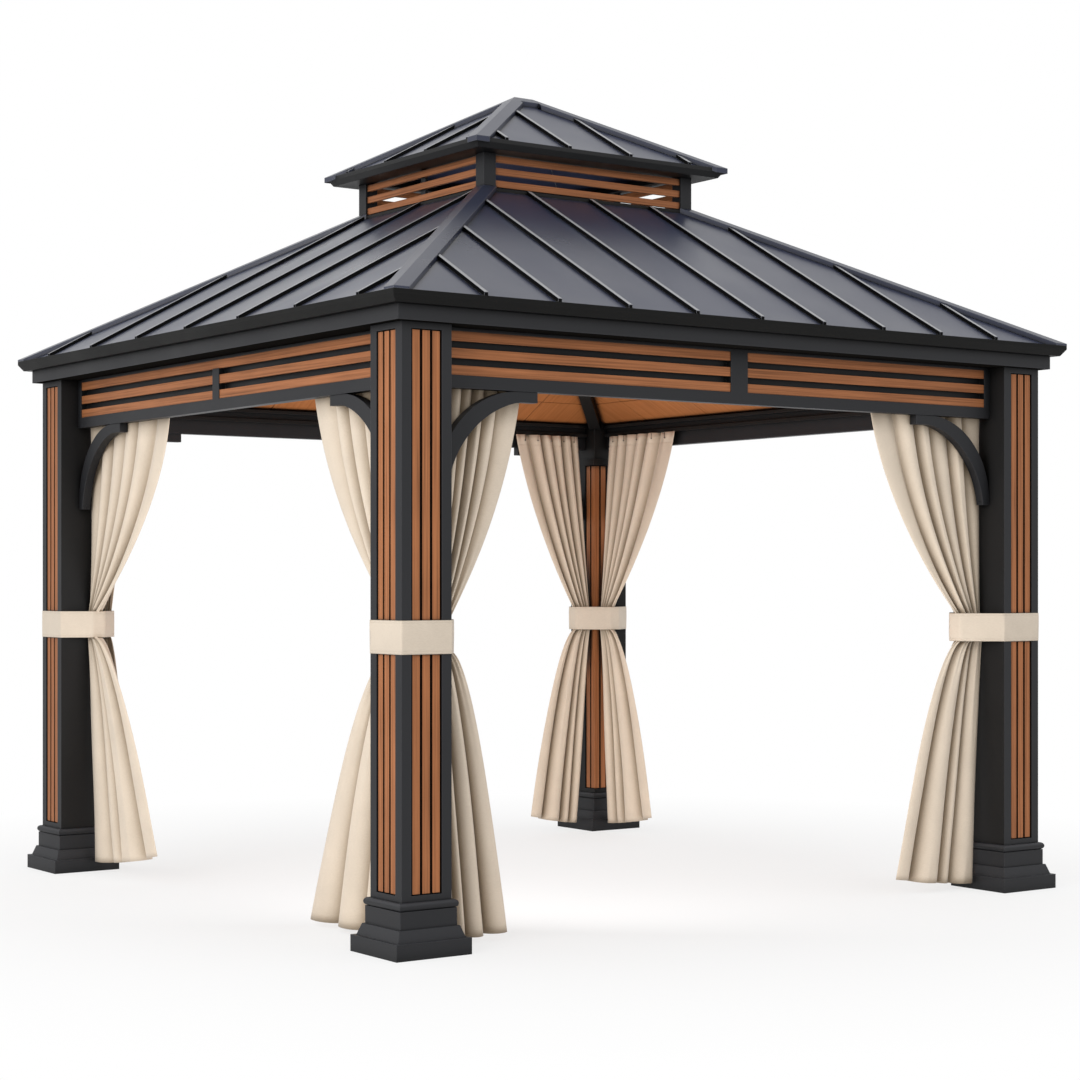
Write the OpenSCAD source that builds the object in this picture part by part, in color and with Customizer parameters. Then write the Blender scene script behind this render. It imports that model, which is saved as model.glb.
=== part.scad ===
// Hardtop garden gazebo: four slatted posts on moulded plinths, louvred friezes with arched
// brackets, a two-tier hipped standing-seam roof with a louvred cupola, and tied-back curtains.
// Millimetres, +Z up, origin on the ground at the centre of the plan. The front is at -Y.

/* [Plan] */
// Distance between post centres along the front
bay_x = 3030; // [2700:10:3500]
// Distance between post centres along the sides
bay_y = 2930; // [2600:10:3400]

/* [Plinths] */
// Distance of the base block in front of the post
plinth_proud = 52.5; // [45:0.5:75]
// Height of the base block
plinth_block_h = 60; // [40:1:75]
// Distance of the sloped course in front of the post where it leaves the base block
plinth_slope_low = 37; // [30:0.5:44]
// Distance of the sloped course in front of the post at its top
plinth_slope_top = 22; // [18:0.5:28]
// Height of the sloped course
plinth_slope_h = 42; // [25:1:60]
// Distance of the upright die in front of the post
plinth_die = 14; // [10:0.5:17]
// Height of the die
plinth_die_h = 64; // [40:1:90]
// Distance of the rounded cap in front of the post
plinth_cap = 19; // [17.5:0.5:23]
// Thickness of the rounded cap
plinth_cap_h = 30; // [20:1:34]
// Wall of the hollow base block
plinth_wall = 5; // [3:0.5:8]

/* [Posts] */
// Width of the square post
post_w = 210; // [200:1:220]
// Height of the post, up to the eave beam
post_top = 2242; // [2100:1:2500]
// Wall behind the slat channel
post_wall = 4; // [3:0.5:6]
// Width of the channel that holds the slats
channel_w = 128; // [122:1:140]
// Depth of the channel
channel_d = 16; // [14:0.5:20]
// Post showing below the channel, above the plinth
channel_low = 22; // [10:1:60]
// Post showing above the channel, below the eave beam
channel_high = 24; // [10:1:60]
// Width of one upright slat
slat_w = 31; // [24:0.5:34]
// Thickness of one upright slat
slat_t = 12; // [8:0.5:13]
// Gap between upright slats
slat_gap = 11; // [6:0.5:13]
// Clear space at both ends of the slats
slat_end = 4; // [2:0.5:10]
// Width of both legs of the slat round the inner edge
corner_slat = 30; // [22:0.5:40]
// Height of the collar above the inner slats
collar_h = 32; // [20:1:50]
// Distance of the collar in front of the post
collar_proud = 20; // [10:1:30]
// Distance of the collar below the frieze
collar_drop = 52; // [30:1:90]

/* [Feet] */
// Clearance round the foot plate inside the base block
foot_gap = 9.5; // [4:0.5:14]
// Thickness of the foot plate
foot_t = 8; // [6:0.5:12]
// Distance of the anchor holes from the edges of the foot plate
anchor_edge = 21; // [14:0.5:24]
// Diameter of the anchor holes
anchor_d = 14; // [10:0.5:16]

/* [Friezes] */
// Height of the frieze beam
beam_h = 217; // [205:1:260]
// Thickness of the frieze beam
beam_t = 45; // [40:1:60]
// Height of the bottom rail
rail_h = 46; // [36:1:60]
// Depth of the pocket behind the slats
pocket_d = 30; // [24:1:34]
// Width of the end stiles
stile_w = 34; // [20:1:60]
// Width of the middle stile on the front and back
mullion_x_w = 86; // [50:1:120]
// Width of the middle stile on the sides
mullion_y_w = 56; // [40:1:100]
// Height of one frieze slat
frieze_slat_h = 36; // [28:0.5:38]
// Gap between frieze slats
frieze_gap = 26; // [18:0.5:28]
// Thickness of one frieze slat
frieze_slat_t = 16; // [12:0.5:20]
// Distance of the frieze slats behind the frame
frieze_set = 3; // [1:0.5:4]

/* [Brackets] */
// Outer radius of the arched bracket
arch_r = 358; // [300:1:420]
// Width of the arch at its middle
arch_w = 62; // [50:1:75]
// Width of the arch at both ends
arch_end_w = 40; // [32:1:48]
// Length of the straight block on the rail
arch_block = 78; // [40:1:110]
// Length of the straight foot on the post
arch_foot = 14; // [6:1:30]
// Thickness of the bracket
arch_t = 38; // [30:1:40]

/* [Eaves] */
// Distance of the fascia in front of the post
fascia_proud = 36; // [20:1:60]
// Height of the fascia
fascia_h = 56; // [45:1:80]
// Thickness of the fascia board
fascia_t = 30; // [20:1:40]
// Thickness of the plate on the post tops
plate_t = 8; // [5:0.5:12]
// Distance of the gutter lip in front of the fascia
gutter_proud = 50; // [40:1:70]
// Distance of the gutter floor edge in front of the fascia
gutter_low_proud = 30; // [20:1:36]
// Height of the gutter
gutter_h = 44; // [36:1:60]
// Height of the straight gutter lip
gutter_lip_h = 16; // [10:1:22]
// Wall of the gutter
gutter_wall = 4; // [2:0.5:5]
// Distance of the gutter back behind the fascia face
gutter_back = 18; // [12:1:24]

/* [Roof] */
// Slope of both roofs in degrees
pitch = 28.5; // [24:0.5:32]
// Thickness of a roof sheet
sheet_t = 3; // [2:0.5:5]
// Gap between the gutter lip and the roof edge
lip_gap = 18; // [12:1:24]
// Depth of the roof edge below the gutter lip
edge_drop = 4; // [2:0.5:8]
// Distance between ribs on the front and back
rib_pitch_x = 325; // [250:1:400]
// Distance between ribs on the sides
rib_pitch_y = 455; // [350:1:500]
// Width of a rib
rib_w = 18; // [14:1:30]
// Height of a rib
rib_h = 14; // [10:1:20]
// Distance of the rib ends from the roof edge
rib_end = 10; // [4:1:20]
// Half width of a hip cap
cap_half_w = 46; // [36:1:60]
// Height of a hip cap above the sheets
cap_h = 21; // [21:0.5:28]

/* [Ceiling] */
// Height of the ceiling edge above the bottom of the friezes
ceiling_rise = 130; // [110:1:160]
// Width of the ledger under the ceiling edge
ledger_w = 26; // [18:1:40]
// Height of the ledger
ledger_h = 16; // [10:1:18]
// Thickness of the ceiling boards
board_t = 10; // [8:0.5:16]
// Width of a hip rafter
rafter_w = 60; // [40:1:80]
// Depth of a hip rafter
rafter_h = 58; // [40:1:80]

/* [Cupola] */
// Length of the cupola along the front
cupola_x = 1110; // [900:10:1400]
// Width of a cupola post
cupola_post_w = 60; // [50:1:80]
// Thickness of the curb boards
curb_t = 30; // [20:1:40]
// Height of the curb above the main roof
curb_rise = 14; // [8:1:30]
// Height of a louvre slat
louvre_h = 28; // [22:0.5:34]
// Gap between louvre slats
louvre_gap = 24; // [16:0.5:30]
// Thickness of a louvre slat
louvre_t = 14; // [10:0.5:20]
// Distance of the louvres behind the post face
louvre_set = 8; // [4:0.5:16]
// Gap above and below the louvres
louvre_end = 6; // [4:0.5:12]
// Width of the upright behind the side louvres
louvre_stay_w = 34; // [20:1:50]

/* [Upper roof] */
// Distance of the upper gutter lip in front of the cupola
upper_proud = 100; // [80:1:130]
// Distance of the upper gutter floor edge in front of the cupola
upper_low_proud = 84; // [64:1:96]
// Height of the upper gutter
upper_gutter_h = 40; // [32:1:50]
// Distance of the upper gutter back in front of the cupola
upper_back = 44; // [30:1:60]
// Distance between ribs on the upper roof
upper_rib_pitch = 325; // [250:1:400]
// Distance of the upper hip cap tips in front of the gutter lip
upper_cap_proud = 14; // [6:1:24]

/* [Curtains] */
// Height of the curtain heading above the bottom of the friezes
curtain_rise = 67; // [40:1:75]
// Clearance between the hem and the ground
hem_clear = 45; // [20:1:90]
// Distance of the heading from the post
heading_gap = 45; // [20:1:90]
// Reach of a front or back curtain under the rail
spread_x = 520; // [400:5:600]
// Reach of a side curtain under the rail
spread_y = 690; // [450:5:800]
// Reach of a front or back curtain at the hem
hem_x = 420; // [300:5:550]
// Reach of a side curtain at the hem
hem_y = 600; // [400:5:750]
// Reach of a tied curtain beside the post
waist = 100; // [80:1:140]
// Depth of the pleats at the heading
heading_d = 52; // [40:1:60]
// Depth of the pleats in the tie band
waist_d = 58; // [40:1:62]
// Depth of the pleats at the hem
hem_d = 90; // [60:1:110]
// Thickness of the folded cloth
cloth_t = 8; // [4:0.5:12]
// Height of the middle of the tie band
tie_z = 1128; // [950:1:1300]
// Height of the tie band
tie_h = 120; // [80:1:160]
// Thickness of the tie band
tie_t = 3; // [2:0.5:5]
// Width of the curtain track
track_w = 20; // [14:1:24]
// Height of the curtain track
track_h = 18; // [12:1:24]

/* [Hidden] */
// Clearance of pieces that slip over each other
slip = 0.3;
// Overrun of every cut
cut = 5;
// Space left open in a mitred corner
mitre = 0.5;
// Clearance of the curtains beside the posts and beams
soft_clear = 0.5;
// Clearance of the hem beside the plinth
hem_side = 6;
// Least height of the frieze beam above its slats
frieze_head = 5;

slope = tan(pitch);
hip_slope = slope / sqrt(2);
hip_angle = atan(hip_slope);
cap_side_slope = slope / sqrt(2 + slope * slope);

plinth_w = post_w + 2 * plinth_proud;
plinth_h = plinth_block_h + plinth_slope_h + plinth_die_h + plinth_cap_h;
foot_w = plinth_w - 2 * (plinth_wall + foot_gap);
anchor_span = foot_w - 2 * anchor_edge;
core_w = post_w - 2 * (channel_d + post_wall);
channel_z0 = plinth_h + channel_low;
channel_z1 = post_top - channel_high;
slat_pitch = slat_w + slat_gap;
slat_side = (channel_w - 2 * slat_pitch - slat_w) / 2;
inner_floor = post_w / 2 - channel_d;
inner_reach = channel_d - slat_t + corner_slat + slat_pitch + slat_side;

beam_z0 = post_top - beam_h;
frieze_pitch = frieze_slat_h + frieze_gap;
frieze_rows = floor((beam_h - rail_h - frieze_head + frieze_gap) / frieze_pitch);
frieze_top = rail_h + (frieze_rows - 1) * frieze_pitch + frieze_slat_h;
collar_z0 = beam_z0 - collar_drop - collar_h;

// Horizontal places run outward from the line of post centres.
fascia_u = post_w / 2 + fascia_proud;
fascia_in_u = fascia_u - fascia_t;
plate_in_u = -beam_t / 2;
fascia_z1 = post_top + fascia_h;
gutter_u = fascia_u + gutter_proud;
gutter_low_u = fascia_u + gutter_low_proud;
gutter_back_u = fascia_u - gutter_back;
gutter_z1 = fascia_z1 + gutter_h;
roof_u = gutter_u - lip_gap;
eave_z = gutter_z1 - edge_drop;
sheet_v = sheet_t / cos(pitch);
rib_v = rib_h / cos(pitch);
board_v = board_t / cos(pitch);
ceiling_u = -beam_t / 2 - slip;
cupola_u = (cupola_x - bay_x) / 2;
ridge_u = -min(bay_x, bay_y) / 2;
ridge_len = abs(bay_x - bay_y);
curb_z0 = ceiling_z(cupola_u) - rafter_h;
curb_z1 = roof_z(cupola_u) + curb_rise;
louvre_pitch = louvre_h + louvre_gap;
louvre_rows = 3;
cupola_z1 = curb_z1 + 2 * louvre_end + (louvre_rows - 1) * louvre_pitch + louvre_h;
upper_u = cupola_u + upper_proud;
upper_low_u = cupola_u + upper_low_proud;
upper_back_u = cupola_u + upper_back;
upper_in_u = cupola_u - cupola_post_w;
upper_z1 = cupola_z1 + upper_gutter_h;
upper_roof_u = upper_u - lip_gap;
upper_eave_z = upper_z1 - edge_drop;
ridge_z = upper_roof_z(ridge_u);

curtain_in = beam_t / 2 + soft_clear;
curtain_top = beam_z0 + curtain_rise;
tie_z0 = tie_z - tie_h / 2;
tie_z1 = tie_z + tie_h / 2;
pleat_count = 6;
// How far the curtains of each corner are drawn, as shares of the reaches given for all
spread_x_shares = [0.79, 1.24, 0.91, 0.56];
spread_y_shares = [0.97, 0.93, 0.90, 1.18];
hem_x_shares = [0.80, 1.24, 0.96, 0.60];
hem_y_shares = [1.15, 0.88, 0.80, 1.14];
waist_shares = [0.90, 1.35, 1.05, 0.62];
// How the edges of a curtain bow out above the tie band and flare below it
hang_share = 0.25;
flare_share = 0.6;
above_tie_shares = [0.3, 0.65, 1];
below_tie_shares = [1, 0.72, 0.45, 0.22, 0.07];
curtain_heights = concat(
    [for (t = below_tie_shares) tie_z0 - t * (tie_z0 - hem_clear)],
    [tie_z0, tie_z1],
    [for (t = above_tie_shares) tie_z1 + t * (curtain_top - tie_z1)]
);

CORNERS = [[-1, -1], [1, -1], [1, 1], [-1, 1]];
CORNER_NAMES = ["front_left", "front_right", "back_right", "back_left"];
SIDE_NAMES = ["front", "right", "back", "left"];
OUTER_FACES = [0, 90];

METAL = "#3a3c40";
DARK = "#2c2d30";
SHEET = "#4c4f5c";
WOOD = "#b5713f";
BOARD = "#8f5327";
CLOTH = "#e0d2ba";
BAND = "#d8c6aa";

// Length of a side between post centres, and its distance from the centre of the plan
function side_len(i) = i % 2 == 0 ? bay_x : bay_y;
function side_off(i) = (i % 2 == 0 ? bay_y : bay_x) / 2;
function mullion(i) = i % 2 == 0 ? mullion_x_w : mullion_y_w;
// Upper surface of each roof and underside of the ceiling at a place u
function roof_z(u) = eave_z + slope * (roof_u - u);
function upper_roof_z(u) = upper_eave_z + slope * (upper_roof_u - u);
function ceiling_z(u) = beam_z0 + ceiling_rise + slope * (ceiling_u - u);
// Plan of one side between two distances, cut at the corners along the hips
function side_plan(i, u_in, u_out, gap) =
    let(tip_u = gap - side_len(i) / 2, in_u = max(u_in, tip_u))
    let(out_x = side_len(i) / 2 + u_out - gap, in_x = side_len(i) / 2 + in_u - gap)
    let(out_y = -side_off(i) - u_out, in_y = -side_off(i) - in_u)
    in_u > u_in
        ? [[-out_x, out_y], [out_x, out_y], [0, in_y]]
        : [[-out_x, out_y], [out_x, out_y], [in_x, in_y], [-in_x, in_y]];

// Turns the front side to side i
module on_side(i) {
    rotate([0, 0, 90 * i]) children();
}

// Stands a corner piece, drawn for the front left, at corner k
module at_corner(k) {
    s = CORNERS[k];
    translate([s[0] * bay_x / 2, s[1] * bay_y / 2, 0])
        mirror([s[0] > 0 ? 1 : 0, 0, 0])
            mirror([0, s[1] > 0 ? 1 : 0, 0])
                children();
}

// Runs a profile of outward places and heights along side i for a length
module along_side(i, length) {
    on_side(i)
        translate([0, -side_off(i), 0])
            rotate([90, 0, -90])
                linear_extrude(height = length, center = true) children();
}

// The same run, mitred at both corners between two distances. Inside the posts it ends at their faces.
module mitred_run(i, u_in, u_out, z0, z1, gap) {
    intersection() {
        along_side(i, side_len(i) + (u_out > 0 ? 2 * u_out : -post_w - 2 * slip)) children();
        on_side(i)
            translate([0, 0, z0])
                linear_extrude(height = z1 - z0) polygon(side_plan(i, u_in, u_out, gap));
    }
}

// Box round the plan at a distance u outward
module plan_box(u, z0, z1) {
    translate([-bay_x / 2 - u, -bay_y / 2 - u, z0])
        cube([bay_x + 2 * u, bay_y + 2 * u, z1 - z0]);
}

// Square block centred on the post
module square_block(w, h) {
    translate([-w / 2, -w / 2, 0]) cube([w, w, h]);
}

// Moulding of the plinth, as a silhouette
module plinth_profile() {
    half = post_w / 2;
    cap_r = plinth_cap_h / 2;
    slope_z = plinth_block_h + plinth_slope_h;
    die_z = slope_z + plinth_die_h;
    translate([-plinth_w / 2, 0]) square([plinth_w, plinth_block_h]);
    polygon([
        [-half - plinth_slope_low, plinth_block_h], [half + plinth_slope_low, plinth_block_h],
        [half + plinth_slope_top, slope_z], [-half - plinth_slope_top, slope_z]
    ]);
    translate([-half - plinth_die, slope_z]) square([2 * (half + plinth_die), plinth_die_h]);
    translate([-half - plinth_cap + cap_r, die_z]) square([2 * (half + plinth_cap - cap_r), plinth_cap_h]);
    for (s = [-1, 1])
        translate([s * (half + plinth_cap - cap_r), die_z + cap_r]) circle(r = cap_r, $fn = 48);
}

module plinth(k) {
    bore = post_w + 2 * slip;
    color(METAL) at_corner(k) difference() {
        intersection() {
            rotate([90, 0, 0]) linear_extrude(height = plinth_w, center = true) plinth_profile();
            rotate([90, 0, 90]) linear_extrude(height = plinth_w, center = true) plinth_profile();
        }
        translate([0, 0, -cut]) square_block(bore, plinth_h + 2 * cut);
        translate([0, 0, -cut]) square_block(plinth_w - 2 * plinth_wall, plinth_block_h - plinth_wall + cut);
    }
}

// Slat channel in the post face that looks to -X
module slat_channel() {
    translate([-post_w / 2 - cut, -channel_w / 2, channel_z0])
        cube([channel_d + cut, channel_w, channel_z1 - channel_z0]);
}

// Three upright slats on the floor of that channel
module slat_set() {
    for (n = [-1, 0, 1])
        translate([channel_d - slat_t - post_w / 2, n * slat_pitch - slat_w / 2, channel_z0 + slat_end])
            cube([slat_t, slat_w, channel_z1 - channel_z0 - 2 * slat_end]);
}

// On the back right post, slats also go round the inner edge, up to the collar
function has_inner_slats(k) = CORNER_NAMES[k] == "back_right";

module on_inner_faces() {
    for (s = [0, 1])
        mirror([s, -s, 0]) children();
}

module inner_channels() {
    on_inner_faces()
        translate([inner_floor, post_w / 2 - inner_reach, channel_z0])
            cube([channel_d + cut, inner_reach + cut, collar_z0 - channel_z0]);
}

// One slat folded round the edge and a plain one on each face
module inner_slats() {
    leg = inner_floor + slat_t - corner_slat;
    translate([0, 0, channel_z0 + slat_end])
        linear_extrude(height = collar_z0 - channel_z0 - 2 * slat_end) {
            difference() {
                translate([leg, leg]) square(corner_slat);
                translate([leg - cut, leg - cut]) square(corner_slat - slat_t + cut);
            }
            on_inner_faces()
                translate([inner_floor, leg - slat_pitch]) square([slat_t, slat_w]);
        }
}

// Collar round the inner edge of the post, beside the brackets and above the slats
module inner_collar() {
    near = arch_t / 2 + slip;
    size = post_w / 2 + collar_proud - near;
    translate([near, near, collar_z0]) cube([size, size, collar_h]);
}

module post(k) {
    color(METAL) at_corner(k) difference() {
        union() {
            translate([0, 0, foot_t]) square_block(post_w, post_top - foot_t);
            if (has_inner_slats(k)) inner_collar();
        }
        square_block(core_w, post_top + cut);
        for (a = OUTER_FACES)
            rotate([0, 0, a]) slat_channel();
        if (has_inner_slats(k)) inner_channels();
    }
}

// Foot plates that the posts stand on, drilled for ground anchors
module foot_plates() {
    color(DARK) for (k = [0 : 3])
        at_corner(k) difference() {
            square_block(foot_w, foot_t);
            for (x = [-1, 1], y = [-1, 1])
                translate([x * anchor_span / 2, y * anchor_span / 2, -cut])
                    cylinder(d = anchor_d, h = foot_t + 2 * cut, $fn = 32);
        }
}

module post_slats(k) {
    color(WOOD) at_corner(k) {
        for (a = OUTER_FACES)
            rotate([0, 0, a]) slat_set();
        if (has_inner_slats(k)) inner_slats();
    }
}

// On the side friezes the top slat runs through in front of the middle stile
function through_slat(i) = i % 2 == 1;

module frieze(i) {
    len = side_len(i) - post_w;
    bay = (len - mullion(i)) / 2 - stile_w;
    notch_z = rail_h + (frieze_rows - 1) * frieze_pitch;
    color(METAL) on_side(i) translate([0, -side_off(i) - beam_t / 2, beam_z0]) difference() {
        translate([-len / 2, 0, 0]) cube([len, beam_t, beam_h]);
        for (s = [0, 1])
            mirror([s, 0, 0])
                translate([mullion(i) / 2, -cut, rail_h])
                    cube([bay, pocket_d + cut, frieze_top - rail_h]);
        if (through_slat(i))
            translate([-mullion(i) / 2 - cut, -cut, notch_z])
                cube([mullion(i) + 2 * cut, frieze_set + frieze_slat_t + cut, frieze_slat_h]);
    }
}

module frieze_slats(i) {
    len = side_len(i) - post_w;
    bay = (len - mullion(i)) / 2 - stile_w;
    color(WOOD) on_side(i)
        translate([0, -side_off(i) - beam_t / 2 + frieze_set, beam_z0 + rail_h])
            for (row = [0 : frieze_rows - 1])
                translate([0, 0, row * frieze_pitch])
                    if (through_slat(i) && row == frieze_rows - 1)
                        translate([-mullion(i) / 2 - bay, 0, 0])
                            cube([mullion(i) + 2 * bay, frieze_slat_t, frieze_slat_h]);
                    else
                        for (s = [0, 1])
                            mirror([s, 0, 0])
                                translate([mullion(i) / 2, 0, 0])
                                    cube([bay, frieze_slat_t, frieze_slat_h]);
}

// Arched bracket in the corner between a post and a rail, as an outline: the inner arc swells
// the band from its end width to its full width half way round.
module arch_outline() {
    half_share = 1 - sqrt(1 / 2);
    reach = half_share * arch_r + arch_w / sqrt(2);
    inner_c = (arch_end_w * arch_end_w + arch_r * arch_r - 2 * reach * reach)
        / (2 * (arch_end_w + arch_r) - 4 * reach);
    inner_r = (inner_c - reach) * sqrt(2);
    difference() {
        intersection() {
            translate([arch_r, -arch_r]) circle(r = arch_r, $fn = 128);
            translate([0, -arch_r]) square([arch_r, arch_r]);
        }
        translate([inner_c, -inner_c]) circle(r = inner_r, $fn = 128);
    }
    translate([arch_r, -arch_end_w]) square([arch_block, arch_end_w]);
    translate([0, -arch_r - arch_foot]) square([arch_end_w, arch_foot]);
}

module brackets(i) {
    half = (side_len(i) - post_w) / 2;
    color(METAL) on_side(i) translate([0, -side_off(i), beam_z0])
        for (s = [0, 1])
            mirror([s, 0, 0])
                translate([-half, arch_t / 2, 0])
                    rotate([90, 0, 0])
                        linear_extrude(height = arch_t) arch_outline();
}

module eave_fascia() {
    color(METAL) for (i = [0 : 3])
        mitred_run(i, plate_in_u - cut, fascia_u, post_top - cut, fascia_z1 + cut, mitre)
            polygon([
                [plate_in_u, post_top], [fascia_u, post_top], [fascia_u, fascia_z1],
                [fascia_in_u, fascia_z1], [fascia_in_u, post_top + plate_t], [plate_in_u, post_top + plate_t]
            ]);
}

// Crown gutter: the back rises to the underside of the sheet, the front leans out to its lip
module gutter_profile(z0, z1, back_u, low_u, out_u, back_top, back_top_in) {
    lip_z = z1 - gutter_lip_h;
    polygon([
        [back_u, z0], [low_u, z0], [out_u, lip_z], [out_u, z1],
        [out_u - gutter_wall, z1], [out_u - gutter_wall, lip_z],
        [low_u - gutter_wall, z0 + gutter_wall], [back_u + gutter_wall, z0 + gutter_wall],
        [back_u + gutter_wall, back_top_in], [back_u, back_top]
    ]);
}

module gutters() {
    color(DARK) for (i = [0 : 3])
        mitred_run(i, gutter_back_u, gutter_u, fascia_z1, roof_z(gutter_back_u), mitre)
            gutter_profile(fascia_z1, gutter_z1, gutter_back_u, gutter_low_u, gutter_u,
                roof_z(gutter_back_u) - sheet_v, roof_z(gutter_back_u + gutter_wall) - sheet_v);
}

module curtain_tracks() {
    track_z0 = curtain_top + soft_clear;
    color(DARK) for (i = [0 : 3])
        on_side(i)
            translate([-(side_len(i) - post_w) / 2, beam_t / 2 - side_off(i), track_z0])
                cube([side_len(i) - post_w, track_w, track_h]);
}

// Sloped strip between two places, from a lower offset to an upper one
module strip(u_out, u_in, z_out, z_in, low, high) {
    polygon([[u_out, z_out + low], [u_out, z_out + high], [u_in, z_in + high], [u_in, z_in + low]]);
}

// Ribs at both sides of the middle, centred on it or clear of it
function rib_places(half, pitch, centred) =
    let(first = centred ? 0 : pitch / 2, n = floor((half - first) / pitch))
    [for (m = [0 : n], s = [-1, 1]) if (m > 0 || !centred || s > 0) s * (first + m * pitch)];

module roof_sheet(i) {
    hip_gap = cap_half_w * sqrt(2) + slip;
    rib_u = roof_u - rib_end;
    pitch_i = i % 2 == 0 ? rib_pitch_x : rib_pitch_y;
    color(SHEET) {
        mitred_run(i, cupola_u, roof_u, eave_z - sheet_v - cut, curb_z1 + cut, mitre)
            strip(roof_u, cupola_u, eave_z, roof_z(cupola_u), -sheet_v, 0);
        intersection() {
            for (x = rib_places(side_len(i) / 2 + rib_u - hip_gap - rib_w, pitch_i, true))
                on_side(i)
                    translate([x, -side_off(i), 0])
                        rotate([90, 0, -90])
                            linear_extrude(height = rib_w, center = true)
                                strip(rib_u, cupola_u, roof_z(rib_u), roof_z(cupola_u), -sheet_v / 2, rib_v);
            on_side(i)
                linear_extrude(height = ridge_z) polygon(side_plan(i, cupola_u, rib_u, hip_gap));
        }
    }
}

// Bar of a given profile along the hip of corner k, from the point at distance u and height z
module hip_bar(k, u, z, in_u) {
    s = CORNERS[k];
    translate([s[0] * (bay_x / 2 + u), s[1] * (bay_y / 2 + u), z])
        rotate([0, 0, atan2(-s[1], -s[0])])
            rotate([0, -hip_angle, 0])
                rotate([90, 0, 90])
                    linear_extrude(height = (u - in_u) * sqrt(2) / cos(hip_angle)) children();
}

// Folded cap across a hip: two leaves that lie on the sheets at both sides
module hip_cap_profile() {
    drop = cap_side_slope * cap_half_w;
    polygon([
        [0, 0], [cap_half_w, -drop], [cap_half_w, cap_h - drop], [0, cap_h],
        [-cap_half_w, cap_h - drop], [-cap_half_w, -drop]
    ]);
}

// Room of a gutter lip under the tip of a hip cap
module lip_room(sheet_u, out_u, z0, z1) {
    difference() {
        plan_box(out_u, z0, z1);
        plan_box(sheet_u, z0 - cut, z1 + cut);
    }
}

module hip_caps() {
    start_u = gutter_u + cap_half_w;
    color(SHEET) for (k = [0 : 3])
        difference() {
            intersection() {
                hip_bar(k, start_u, roof_z(start_u), cupola_u - cap_half_w) hip_cap_profile();
                plan_box(gutter_u, fascia_z1, ridge_z);
            }
            plan_box(cupola_u, fascia_z1, ridge_z);
            lip_room(roof_u, gutter_u + cut, fascia_z1 - cut, gutter_z1);
        }
}

module ceiling_boards() {
    low_z = ceiling_z(ceiling_u);
    color(BOARD) for (i = [0 : 3])
        mitred_run(i, cupola_u, ceiling_u, low_z, curb_z1, mitre)
            strip(ceiling_u, cupola_u, low_z, ceiling_z(cupola_u), 0, board_v);
}

// Ledgers on the inner faces of the friezes that carry the edge of the ceiling
module ceiling_ledgers() {
    color(DARK) for (i = [0 : 3])
        on_side(i)
            translate([
                -(side_len(i) - post_w) / 2, beam_t / 2 - side_off(i), ceiling_z(ceiling_u) - ledger_h
            ])
                cube([side_len(i) - post_w, ledger_w, ledger_h]);
}

// Hip rafters under the ceiling, notched over the inner edges of the posts
module hip_rafters() {
    drop = cap_side_slope * rafter_w / 2;
    color(DARK) for (k = [0 : 3])
        difference() {
            hip_bar(k, 0, ceiling_z(0), cupola_u - rafter_w)
                polygon([
                    [0, 0], [-rafter_w / 2, -drop], [-rafter_w / 2, -rafter_h],
                    [rafter_w / 2, -rafter_h], [rafter_w / 2, -drop]
                ]);
            at_corner(k) square_block(post_w, post_top);
            plan_box(cupola_u, beam_z0, curb_z1 + cut);
        }
}

module cupola_curb() {
    color(DARK) for (i = [0 : 3])
        mitred_run(i, cupola_u - curb_t, cupola_u, curb_z0, curb_z1, mitre)
            translate([cupola_u - curb_t, curb_z0]) square([curb_t, curb_z1 - curb_z0]);
}

module cupola_posts() {
    half_x = bay_x / 2 + cupola_u;
    half_y = bay_y / 2 + cupola_u;
    color(METAL) {
        for (s = CORNERS)
            translate([s[0] * (half_x - cupola_post_w / 2), s[1] * (half_y - cupola_post_w / 2), curb_z1])
                square_block(cupola_post_w, cupola_z1 - curb_z1);
        for (s = [0, 1])
            mirror([s, 0, 0])
                translate([half_x - louvre_set - 2 * louvre_t, -louvre_stay_w / 2, curb_z1])
                    cube([louvre_t, louvre_stay_w, cupola_z1 - curb_z1]);
    }
}

module cupola_louvres() {
    color(WOOD) for (i = [0 : 3], row = [0 : louvre_rows - 1]) {
        len = side_len(i) + 2 * cupola_u - 2 * cupola_post_w;
        on_side(i)
            translate([
                -len / 2, louvre_set - side_off(i) - cupola_u,
                curb_z1 + louvre_end + row * louvre_pitch
            ])
                cube([len, louvre_t, louvre_h]);
    }
}

module upper_eave() {
    color(DARK) for (i = [0 : 3])
        mitred_run(i, upper_in_u, upper_u, cupola_z1, upper_roof_z(upper_back_u), mitre) {
            gutter_profile(cupola_z1, upper_z1, upper_back_u, upper_low_u, upper_u,
                upper_roof_z(upper_back_u) - sheet_v, upper_roof_z(upper_back_u + gutter_wall) - sheet_v);
            translate([upper_in_u, cupola_z1])
                square([upper_back_u - upper_in_u, gutter_wall]);
        }
}

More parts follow.
